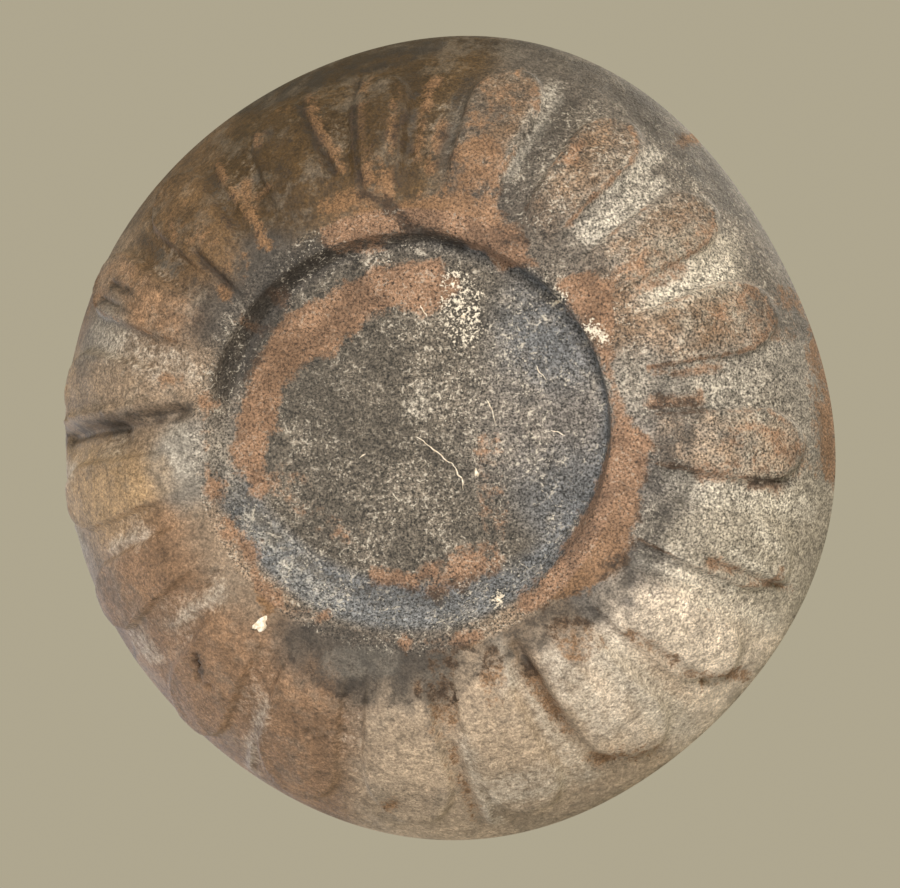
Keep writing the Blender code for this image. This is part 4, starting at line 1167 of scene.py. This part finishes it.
def slipped_clay():
    """Fired brown clay under a thin, dull dark slip that has worn, flaked and bloomed.

    The slip is semi-matt and smooth, the bare clay rough and gritty with small dark pits, and lime
    from the ground lies on both as a pale film, specks and threads in fine cracks.
    """
    material = bpy.data.materials.new("worn_slip_over_fired_clay")
    material.use_nodes = True
    tree = material.node_tree
    shader = tree.nodes["Principled BSDF"]
    place = add(tree, "ShaderNodeTexCoord", out="Object")
    tone = add(tree, "ShaderNodeAttribute", out="Color", attribute_name="tone")
    coarse = add(tree, "ShaderNodeAttribute", out="Fac", attribute_name="coarse")
    noise = {}
    for name, (size, detail, rough) in NOISES.items():
        inputs = {"Vector": place, "Scale": 1.0 / (size * MM), "Detail": detail, "Roughness": rough}
        noise[name] = add(tree, "ShaderNodeTexNoise", inputs)
    middle = -0.5 * (BLOTCH_EDGE + GRAIN_EDGE)
    ragged = {0: noise["blotch"], 1: BLOTCH_EDGE, 2: middle}
    ragged = add(tree, "ShaderNodeMath", ragged, operation="MULTIPLY_ADD")
    ragged = {0: noise["grain"], 1: GRAIN_EDGE, 2: ragged}
    ragged = add(tree, "ShaderNodeMath", ragged, operation="MULTIPLY_ADD")
    fine = {0: noise["grit"], 1: CRUST_EDGE, 2: -CRUST_EDGE}
    fine = add(tree, "ShaderNodeMath", fine, operation="MULTIPLY_ADD")
    fine = {0: noise["grain"], 1: CRUST_EDGE, 2: fine}
    fine = add(tree, "ShaderNodeMath", fine, operation="MULTIPLY_ADD")
    cover = {}
    for name, (soft, full) in LAYERS.items():
        edge = fine if name == "crust" else ragged
        depth = add(tree, "ShaderNodeAttribute", out="Fac", attribute_name=name)
        depth = add(tree, "ShaderNodeMath", {0: depth, 1: edge}, operation="ADD")
        inputs = {0: depth, 1: -soft, 2: soft, 3: 0.0, 4: full}
        cover[name] = add(tree, "ShaderNodeMapRange", inputs, interpolation_type="SMOOTHSTEP")
    read = {}
    for name, (source, low, high, first, last) in READINGS.items():
        inputs = {0: noise[source], 1: low, 2: high, 3: first, 4: last}
        read[name] = add(tree, "ShaderNodeMapRange", inputs)

    # The slip: clouded, mottled, hazed over with pale film, and peppered where it is coarse.
    slip = add(tree, "ShaderNodeMix", {0: 1.0, 6: tone, 7: read["shade"]}, 2, **MULTIPLY)
    slip = add(tree, "ShaderNodeMix", {0: 1.0, 6: slip, 7: read["mottle"]}, 2, **MULTIPLY)
    slip = add(tree, "ShaderNodeMix", {0: read["haze"], 6: slip, 7: colour(HAZE_FILM)}, 2, **BLEND)
    slip = add(tree, "ShaderNodeMix", {0: cover["pale"], 6: slip, 7: colour(PALE_FILM)}, 2, **BLEND)
    slip = add(tree, "ShaderNodeMix", {0: 1.0, 6: slip, 7: read["rough"]}, 2, **MULTIPLY)
    peppered = add(tree, "ShaderNodeMix", {0: 1.0, 6: slip, 7: read["pepper"]}, 2, **MULTIPLY)
    slip = add(tree, "ShaderNodeMix", {0: coarse, 6: slip, 7: peppered}, 2, **BLEND)

    # The bare clay: smooth and warm, or coarse with temper and dark pits.
    clay = {0: read["warm"], 6: colour(DEEP_CLAY), 7: colour(LIGHT_CLAY)}
    clay = add(tree, "ShaderNodeMix", clay, 2, **BLEND)
    clay = add(tree, "ShaderNodeMix", {0: coarse, 6: colour(SMOOTH_CLAY), 7: clay}, 2, **BLEND)
    clay = add(tree, "ShaderNodeMix", {0: 1.0, 6: clay, 7: read["temper"]}, 2, **MULTIPLY)
    pit = add(tree, "ShaderNodeMath", {0: read["pit"], 1: coarse}, operation="MULTIPLY")
    clay = add(tree, "ShaderNodeMix", {0: pit, 6: clay, 7: colour(PIT_SHADE)}, 2, **BLEND)
    # Bare clay over the slip, also painting the grooves' brown shade; then the dark layer: soot and dark
    # slip, with painted shade and shadow in the grooves, pits and crease and along the widest turn.
    surface = add(tree, "ShaderNodeMix", {0: cover["bare"], 6: slip, 7: clay}, 2, **BLEND)
    surface = add(tree, "ShaderNodeMix", {0: cover["dark"], 6: surface, 7: colour(SOOT_AND_SHADOW_DARK)}, 2, **BLEND)

    # Fine cracks, dark where the surface is smooth, and lime in them and in specks where it is coarse.
    wander = {"Vector": place, "Scale": 1.0 / (CRACK_SWELL * MM), "Detail": 3.0}
    wander = add(tree, "ShaderNodeTexNoise", wander, 1)
    spread = (CRACK_WANDER * MM,) * 3
    bent = add(tree, "ShaderNodeVectorMath", {0: wander, 1: spread, 2: place}, operation="MULTIPLY_ADD")
    crack = {"Vector": bent, "Scale": 1.0 / (CRACK_SPACING * MM)}
    crack = add(tree, "ShaderNodeTexVoronoi", crack, feature="DISTANCE_TO_EDGE")
    whole, gone = CRACK_LINE
    crack = add(tree, "ShaderNodeMapRange", {0: crack, 1: whole, 2: gone, 3: 1.0, 4: 0.0})
    crack = add(tree, "ShaderNodeMath", {0: crack, 1: read["broken"]}, operation="MULTIPLY")
    plain = {0: CRACK_END, 1: coarse}
    plain = add(tree, "ShaderNodeMath", plain, operation="SUBTRACT", use_clamp=True)
    wrinkle = add(tree, "ShaderNodeMath", {0: crack, 1: plain}, operation="MULTIPLY")
    surface = add(tree, "ShaderNodeMix", {0: wrinkle, 6: surface, 7: colour(CRACK_SHADE)}, 2, **BLEND)
    lime = add(tree, "ShaderNodeMath", {0: read["lime"], 1: crack}, operation="MAXIMUM")
    on_slip = {0: cover["bare"], 1: 0.0, 2: 1.0, 3: 1.0, 4: LIME_ON_CLAY}
    on_slip = add(tree, "ShaderNodeMapRange", on_slip)
    on_coarse = {0: coarse, 1: LIME_COARSE, 2: 1.0, 3: 0.0, 4: 1.0}
    on_coarse = add(tree, "ShaderNodeMapRange", on_coarse)
    for where in (read["limy"], on_slip, on_coarse):
        lime = add(tree, "ShaderNodeMath", {0: lime, 1: where}, operation="MULTIPLY")
    surface = add(tree, "ShaderNodeMix", {0: lime, 6: surface, 7: colour(LIME_SPECK)}, 2, **BLEND)
    surface = {0: cover["crust"], 6: surface, 7: colour(LIME_CRUST)}
    surface = add(tree, "ShaderNodeMix", surface, 2, **BLEND)

    dull = {0: cover["bare"], 1: 0.0, 2: 1.0, 3: SLIP_ROUGHNESS, 4: CLAY_ROUGHNESS}
    dull = add(tree, "ShaderNodeMapRange", dull)
    height = add(tree, "ShaderNodeMath", {0: noise["haze"], 1: HAZE_RELIEF}, operation="MULTIPLY")
    parts = [(noise[name], size) for name, size in NOISE_RELIEF]
    parts += [(cover["bare"], BARE_RELIEF), (cover["crust"], CRUST_RELIEF), (wrinkle, CRACK_RELIEF)]
    for source, size in parts:
        height = add(tree, "ShaderNodeMath", {0: source, 1: size, 2: height}, operation="MULTIPLY_ADD")
    bump = {"Strength": BUMP_STRENGTH, "Distance": 1.0 * MM, "Height": height}
    bump = add(tree, "ShaderNodeBump", bump)
    tree.links.new(surface, shader.inputs["Base Color"])
    tree.links.new(dull, shader.inputs["Roughness"])
    tree.links.new(bump, shader.inputs["Normal"])
    shader.inputs["Metallic"].default_value = 0.0
    shader.inputs["IOR"].default_value = CLAY_IOR
    return material


CHALK = "#f0e8da"
CHALK_STAIN = "#c3b094"
STAIN_SIZE = 0.6 * MM


def lime_crust():
    """Hard lime from the ground: chalky, near white, stained buff in its hollows."""
    material = bpy.data.materials.new("ground_lime")
    material.use_nodes = True
    tree = material.node_tree
    shader = tree.nodes["Principled BSDF"]
    place = add(tree, "ShaderNodeTexCoord", out="Object")
    stain = {"Vector": place, "Scale": 1.0 / STAIN_SIZE, "Detail": 3.0}
    stain = add(tree, "ShaderNodeTexNoise", stain)
    share = add(tree, "ShaderNodeMapRange", {0: stain, 1: 0.42, 2: 0.62, 3: 0.0, 4: 0.8})
    chalk = {0: share, 6: colour(CHALK), 7: colour(CHALK_STAIN)}
    chalk = add(tree, "ShaderNodeMix", chalk, 2, **BLEND)
    bump = add(tree, "ShaderNodeBump", {"Strength": 0.6, "Distance": 0.3 * MM, "Height": stain})
    tree.links.new(chalk, shader.inputs["Base Color"])
    tree.links.new(bump, shader.inputs["Normal"])
    shader.inputs["Roughness"].default_value = 0.9
    return material


def mesh_piece(name, points, faces, material):
    """A smooth-shaded piece at the origin, with its place in its mesh, that rides on the jug."""
    mesh = bpy.data.meshes.new(name)
    mesh.from_pydata(points.tolist(), [], faces)
    mesh.update()
    mesh.shade_smooth()
    mesh.materials.append(material)
    piece = bpy.data.objects.new(name, mesh)
    bpy.context.scene.collection.objects.link(piece)
    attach(piece, "root")
    return piece


def make_jug():
    """Builds the jug's visible skin in place of the solid."""
    points, faces, inside, strap = jug_skin()
    jug = mesh_piece("lagynos_skin", points, faces, slipped_clay())
    tone, depths = surface_fields(points, inside, strap)
    shades = np.concatenate([tone, np.ones((len(tone), 1))], axis=1).astype(np.float32)
    layer = jug.data.attributes.new("tone", "FLOAT_COLOR", "POINT")
    layer.data.foreach_set("color", shades.ravel())
    for name, depth in zip(("dark", "bare", "pale", "crust", "coarse"), depths):
        layer = jug.data.attributes.new(name, "FLOAT", "POINT")
        layer.data.foreach_set("value", depth.astype(np.float32))
    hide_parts("lagynos")


def make_lime():
    """The lime lumps and threads under the body, as two pieces."""
    material = lime_crust()
    lumps = []
    for number, (clock, reach, length, width) in enumerate(LUMPS):
        lumps.append(lump_mesh(clock, reach * MM, length * MM, width * MM, number + 1))
    threads = [thread_mesh(route) for route in THREADS]
    for name, meshes in (("lime_lumps", lumps), ("lime_threads", threads)):
        points, faces = [], []
        start = 0
        for part_points, part_faces in meshes:
            points.append(part_points)
            faces += [[start + corner for corner in face] for face in part_faces]
            start += len(part_points)
        mesh_piece(name, np.vstack(points), faces, material)


def make_floor():
    """A pale floor at the height that the jug stands on, seen from above and clear from below."""
    half = 3.0
    corners = [(-half, -half, 0.0), (half, -half, 0.0), (half, half, 0.0), (-half, half, 0.0)]
    mesh = bpy.data.meshes.new("floor")
    mesh.from_pydata(corners, [], [(0, 1, 2, 3)])
    floor = bpy.data.objects.new("floor", mesh)
    bpy.context.scene.collection.objects.link(floor)
    material = bpy.data.materials.new("pale_floor")
    material.use_nodes = True
    tree = material.node_tree
    shader = tree.nodes["Principled BSDF"]
    shader.inputs["Base Color"].default_value = colour("#d9d7d2")
    shader.inputs["Roughness"].default_value = 0.9
    behind = add(tree, "ShaderNodeNewGeometry", out="Backfacing")
    clear = add(tree, "ShaderNodeBsdfTransparent")
    mix = add(tree, "ShaderNodeMixShader", {0: behind, 1: shader.outputs[0], 2: clear})
    tree.links.new(mix, tree.nodes["Material Output"].inputs["Surface"])
    mesh.materials.append(material)
    floor.visible_shadow = False
    floor.visible_diffuse = False
    floor.visible_glossy = False
    floor.visible_transmission = False


# The photograph's view: from under the body, leaning a little towards +X, with -Y at the top.
VIEW_LEAN = math.radians(12.5)
VIEW_DISTANCE = 0.600
VIEW_AIM = (2.6 * MM, 1.1 * MM, 32.2 * MM)
LENS = 120.0


def make_camera():
    """A camera that looks up at the underside, as the photograph does."""
    back = Vector((math.sin(VIEW_LEAN), 0.0, -math.cos(VIEW_LEAN)))
    up = Vector((0.0, -1.0, 0.0))
    right = up.cross(back)
    camera = bpy.data.objects.new("camera", bpy.data.cameras.new("camera"))
    bpy.context.scene.collection.objects.link(camera)
    turn = Matrix((right, up, back)).transposed().to_4x4()
    camera.matrix_world = Matrix.Translation(Vector(VIEW_AIM) + back * VIEW_DISTANCE) @ turn
    camera.data.lens = LENS
    camera.data.sensor_width = 36.0
    camera.data.clip_start = 0.01
    bpy.context.scene.camera = camera


# Lights: place, width of the square, power in watts and colour. The first two lie below the floor
# and light the underside from the photograph's upper right; the others light the jug from above.
LIGHTS = {
    "under_key": ((0.24, -0.33, -0.62), 0.26, 6.6, "#fff8ee"),
    "under_fill": ((-0.35, 0.45, -0.65), 0.60, 3.2, "#fcfaff"),
    "top_key": ((0.55, -0.60, 0.95), 0.60, 9.0, "#fff4e2"),
    "top_fill": ((-0.80, 0.30, 0.70), 0.80, 4.0, "#f2f4ff"),
}
LIGHT_TARGET = (0.0, 0.0, 0.03)
ROOM_LIGHT = 0.50


def make_lights():
    """Soft lights, and a pale surrounding."""
    for name, (place, size, power, code) in LIGHTS.items():
        data = bpy.data.lights.new(name, "AREA")
        data.size = size
        data.energy = power
        data.color = linear(code)
        light = bpy.data.objects.new(name, data)
        light.location = place
        light.rotation_mode = "QUATERNION"
        light.rotation_quaternion = (Vector(LIGHT_TARGET) - Vector(place)).to_track_quat("-Z", "Y")
        bpy.context.scene.collection.objects.link(light)
    world = bpy.data.worlds.new("pale_room")
    world.use_nodes = True
    shade = world.node_tree.nodes["Background"]
    shade.inputs["Color"].default_value = colour("#eee3c4")
    shade.inputs["Strength"].default_value = ROOM_LIGHT
    bpy.context.scene.world = world
    bpy.context.scene.view_settings.view_transform = "Standard"


make_jug()
make_lime()
make_floor()
make_camera()
make_lights()
